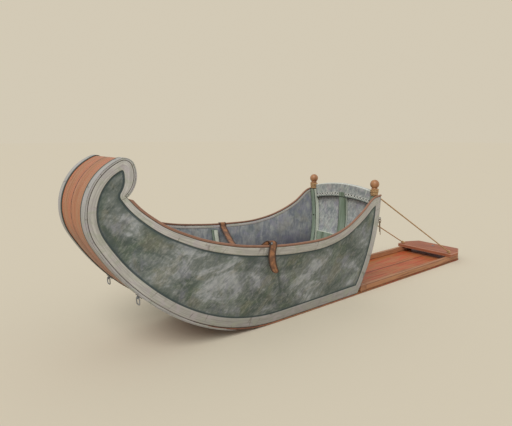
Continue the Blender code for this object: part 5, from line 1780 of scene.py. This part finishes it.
link = eye - (0.0, 0.0, EYE_RADIUS - EYE_WIRE - LINK_FIT + LINK_RADIUS - THONG_RADIUS)
loop = hoop(link, LINK_RADIUS, THONG_RADIUS, ((0, 1, 0), (0, 0, 1)), around=12, turns=40)
piece("thong_link", loop, thong_hide, ("thong_loop",), looped=True)
tie = link - (0.0, 0.0, LINK_RADIUS + TIE_RADIUS * 0.6)
wrap = span(0.0, 2 * np.pi * TIE_WRAPS, 90)[:, None]
reach = TIE_RADIUS - THONG_RADIUS
line = tie + np.concatenate((reach * np.cos(wrap), reach * np.sin(wrap),
                             TIE_HEIGHT / 2 - TIE_HEIGHT * wrap / wrap[-1]), axis=1)
knot = tube(line, THONG_RADIUS * 1.1, around=10, round_ends=THONG_RADIUS)
piece("thong_knot", knot, thong_hide)
knot_bottom = tie[2] - TIE_RADIUS * np.cos(np.radians(30.0)) - GAP
for k, route in enumerate(TAIL_ROUTES, start=1):
    steps = np.array(route) * (1.0, 1.0, -1.0)
    path = smooth_line(steps + (eye[0], eye[1], knot_bottom), 60)
    skin = tube(path, THONG_RADIUS, (1, 0, 0), around=12, strands=2, pitch=TAIL_LAY, groove=0.12)
    tail = piece(f"thong_end_{k}", skin, thong_hide, (f"thong_tail_{k}",))

# %% [markdown]
# The lap strap lies over both rails and hangs in a shallow bow between them. It lies snug on the
# far rail. Over the near one it is a loose fold that stands off the rail, and its tail waves. The
# line is worked out side by side: points up the tail, over the rail and down inside, which a
# cubic line then joins.

# %% Line of the lap strap
STRAP_PLACE = 0.665
STRAP_SLANT = 0.235         # how far it turns rearwards for each metre across
STRAP_THICK = 0.003
STRAP_FIT = 0.0008
STRAP_SAG = 0.085
STRAP_TAIL_NEAR = 0.135
STRAP_TAIL_FAR = 0.060
STRAP_LIFT = 0.016          # how far the loose fold stands off the near rail
FOLD_SHOULDER = 0.6         # in lifts: how high the fold's shoulders stand
FOLD_SLANT = 3.4            # in lifts: how far forward the fold runs inside the rail
TAIL_WAVE = (0.9, 0.3)      # in lifts: wave of the tail along the sled and outwards
TAIL_LEAN = 1.2             # in lifts: how far rearwards the tail's end leans


def rail_section(side):
    """Middle of the rail under the strap: place along the sled, half width and top height."""
    height = side_row(share_at(np.array(-STRAP_PLACE)))[2]
    x = -STRAP_PLACE + STRAP_SLANT * side * float(half_width(-STRAP_PLACE, height))
    height = float(side_row(share_at(np.array(x)))[2])
    return x, float(half_width(x, height)), height + GAP + RAIL_HEIGHT


def over_rail(side, tail, lift):
    """Points from the tail's end over the rail to its inside: its height is top - tail k, k from 1 to 0."""
    x, half, top = rail_section(side)
    clear = STRAP_FIT + STRAP_THICK / 2
    shoulder = top + clear * 0.75 + lift * FOLD_SHOULDER
    outer, inner = half - RAIL_INSET + RAIL_WIDTH + clear, half - RAIL_INSET - clear
    k = np.arange(6, 0, -1) / 6
    wave = np.sin(np.pi * k)
    sway = lift * (-TAIL_WAVE[0] * wave + TAIL_LEAN * k * k)
    hang = np.stack((sway, outer + lift * TAIL_WAVE[1] * wave, top - tail * k), axis=-1)
    slant = -lift * FOLD_SLANT
    over = np.array(((0.0, outer, top - 0.004), (0.0, outer - 0.002, shoulder),
                     (slant * 0.12, half, top + clear + 0.0008 + lift),
                     (slant * 0.50, inner + 0.001, shoulder),
                     (slant * 0.85, inner - 0.001, top - 0.004), (slant, inner - 0.003, top - 0.012)))
    return np.concatenate((hang, over)) * (1.0, side, 1.0) + (x, 0.0, 0.0)


def strap_line():
    """Line of the strap from the far tail to the near one, sagging by a parabola between the rails."""
    far = over_rail(1.0, STRAP_TAIL_FAR, 0.0)
    near = over_rail(-1.0, STRAP_TAIL_NEAR, STRAP_LIFT)[::-1]
    t = span(0.0, 1.0, 15)[1:-1, None]
    chord = far[-1] + (near[0] - far[-1]) * t
    chord[:, 2] -= STRAP_SAG * (1.0 - (2 * t[:, 0] - 1.0) ** 2)
    return smooth_line(np.concatenate((far, chord, near)), 300)


strap_path = strap_line()
print("strap line", round(float(lengths(strap_path)[-1]), 3), "m long")

# %% [markdown]
# A flat rounded section is carried along the line, tilted with the rails that it crosses, and its
# ends are rounded off by narrowing it along half circles. Two more points on its top and its
# underside mark off the dark borders. A mend on the near fold is held by a rivet, which is a
# stepped profile swung round a level axis.

# %% Lap strap
STRAP_WIDTH = 0.043
STRAP_BORDER = 0.0080       # width of the dark border along both edges
STRAP_EDGE = 0.0012
RIVET_RADIUS = 0.0075
RIVET_DROP = 0.008          # below the crest of the fold
RIVET_REACH = (1.0, 1.0, 0.90, 0.70, 0.66, 0.40, 0.0)     # shares of the radius, washer then dome
RIVET_RISE = (0.0, 0.0010, 0.0013, 0.0014, 0.0028, 0.0040, 0.0043)
RIVET_DOME = 3              # first row of the dome


def bordered(a, b, border):
    """The section with two more points on its top and its underside, border away from its edges."""
    top, low = CORNER, 3 * CORNER
    edges = ((top - 1, top), (low - 1, low))
    a = np.concatenate((a[:, :top], a[:, top - 1:top] - border, a[:, top:top + 1] + border,
                        a[:, top:low], a[:, low - 1:low] + border, a[:, low:low + 1] - border,
                        a[:, low:]), axis=1)
    b = np.insert(b, (top, top, low, low), b[:, [k for pair in edges for k in pair]], axis=1)
    edge = np.ones(a.shape[1])
    edge[[top, top + 1, low + 2, low + 3]] = 0.0
    return a, b, edge


def build_strap(path):
    """Section along the path: across follows the rails' slope, up is square to the path."""
    tangent = np.gradient(path, axis=0)
    tangent[:, 0] = 0.0
    tangent /= np.linalg.norm(tangent, axis=1)[:, None]
    up = np.stack((np.zeros(len(path)), -tangent[:, 2], tangent[:, 1]), axis=1)
    share = np.clip(path[:, 1] / rail_section(1.0)[1], -1.0, 1.0)
    step = 0.01
    rows = side_row(share_at(path[:, 0] + step)) - side_row(share_at(path[:, 0] - step))
    slope = rows / (2 * step)
    across = np.stack((np.ones(len(path)), slope[:, 1] * share, slope[:, 2]), axis=1)
    run = lengths(path)
    end = np.minimum(np.minimum(run, run[-1] - run) / (STRAP_WIDTH / 2), 1.0)
    half = STRAP_WIDTH / 2 * np.sqrt(np.clip(1.0 - (1.0 - end) ** 2, 0.02, 1.0))
    flat = np.full(len(path), STRAP_THICK / 2)
    a, b = rounded(-half, half, -flat, flat, np.minimum(half, STRAP_EDGE))
    a, b, edge = bordered(a, b, np.minimum(STRAP_BORDER, half * 0.6)[:, None])
    points = path[:, None] + a[..., None] * across[:, None] + b[..., None] * up[:, None]
    piece("lap_strap_leather", points, leather, ("lap_strap",), along=run[:, None],
          across=a, marks={"edge": edge})


def build_rivet(path):
    """Light dome in a dark washer on the outside of the near fold, where the strap was mended."""
    crest = int(np.argmax(np.where(path[:, 1] < 0.0, path[:, 2], 0.0)))
    seat = crest + int(np.argmax(path[crest:, 2] < path[crest, 2] - RIVET_DROP))
    centre = path[seat] - (STRAP_WIDTH / 4, STRAP_THICK / 2 + GAP, 0.0)
    reach = RIVET_RADIUS * np.array(RIVET_REACH)[:, None]
    rise = np.array(RIVET_RISE)[:, None]
    angle = turn_of(32)[None]
    points = np.stack(np.broadcast_arrays(centre[0] + reach * np.cos(angle), centre[1] - rise,
                                          centre[2] + reach * np.sin(angle)), axis=-1)
    dome = np.arange(len(rise))[:, None] >= RIVET_DOME
    piece("strap_rivet", points, tack_iron, second=iron, second_cells=dome)


build_strap(strap_path)
build_rivet(strap_path)

# %% [markdown]
# The draught rings under the bow are rounded iron loops. Each hangs in its keeper and swings on
# its own body, so it rides there and not on the sled.

# %% Draught rings
HITCH_WIRE = 0.0025
RING_WIDTH = 0.030
RING_DROP = 0.028
RING_CORNER = 0.008
CORNER_STEPS = 12


def ring_line():
    """Rounded rectangle in the y-z plane that hangs from the middle of its upper side."""
    w, d, c = RING_WIDTH / 2, RING_DROP, RING_CORNER
    centre_y = np.repeat((w - c, w - c, -w + c, -w + c), CORNER_STEPS)
    centre_z = np.repeat((-c, -d + c, -d + c, -c), CORNER_STEPS)
    angle = np.radians(np.concatenate([span(90.0 - 90.0 * k, 0.0 - 90.0 * k, CORNER_STEPS)
                                       for k in range(4)]))
    return np.stack((centre_y + c * np.cos(angle), centre_z + c * np.sin(angle)), axis=-1)


def build_ring(word):
    """The line thickened to a wire: wire sin b along x, and wire cos b along its flat normal."""
    low, high = (np.array(corner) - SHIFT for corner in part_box(f"hitch_ring_{word}"))
    y, z = (low[1] + high[1]) / 2, high[2] - HITCH_WIRE
    line = ring_line()
    run = np.roll(line, -1, axis=0) - np.roll(line, 1, axis=0)
    run /= np.linalg.norm(run, axis=1)[:, None]
    b = turn_of(14)[None]
    x = (low[0] + high[0]) / 2 + HITCH_WIRE * np.sin(b)
    points = np.stack((np.broadcast_to(x, (len(line), b.size)),
                       y + line[:, :1] - run[:, 1:] * HITCH_WIRE * np.cos(b),
                       z + line[:, 1:] + run[:, :1] * HITCH_WIRE * np.cos(b)), axis=-1)
    piece(f"draught_ring_{word}", points, iron, (f"hitch_ring_{word}",),
          body=f"hitch_{word}", looped=True)


for word, side in SIDES:
    build_ring(word)

# %% [markdown]
# A bolt holds the rear bar in its middle. Its washer and low domed head are one profile on the
# lathe, set on the bar's top.

# %% Bolt on the rear bar
BOLT_SET = 0.138            # from the bar's front edge
BOLT_PROFILE = np.array((   # radius, height
    (0.011, 0.0), (0.011, 0.0012), (0.010, 0.0016), (0.0075, 0.0018),
    (0.007, 0.0034), (0.004, 0.0046), (0.0, 0.0048),
))
bolt_centre = (bar_front + BOLT_SET, 0.0, bar_top + GAP)
lathe("rear_bar_bolt", bolt_centre, *BOLT_PROFILE.T, iron, "iron")

# %% [markdown]
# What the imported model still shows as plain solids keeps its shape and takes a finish: the bars
# that hold the boards together are wood, and the rings' keepers iron.

# %% Finishes of the parts that keep their solids
kept_solids = {f"cross_bar_{k}": bar_wood for k in range(1, 7)}
kept_solids |= {"nose_bar": bar_wood, "hitch_keeper_left": iron, "hitch_keeper_right": iron}
for name, finish in kept_solids.items():
    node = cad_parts[name]
    node.data.materials.clear()
    node.data.materials.append(finish.material)
print("finished", ", ".join(kept_solids))
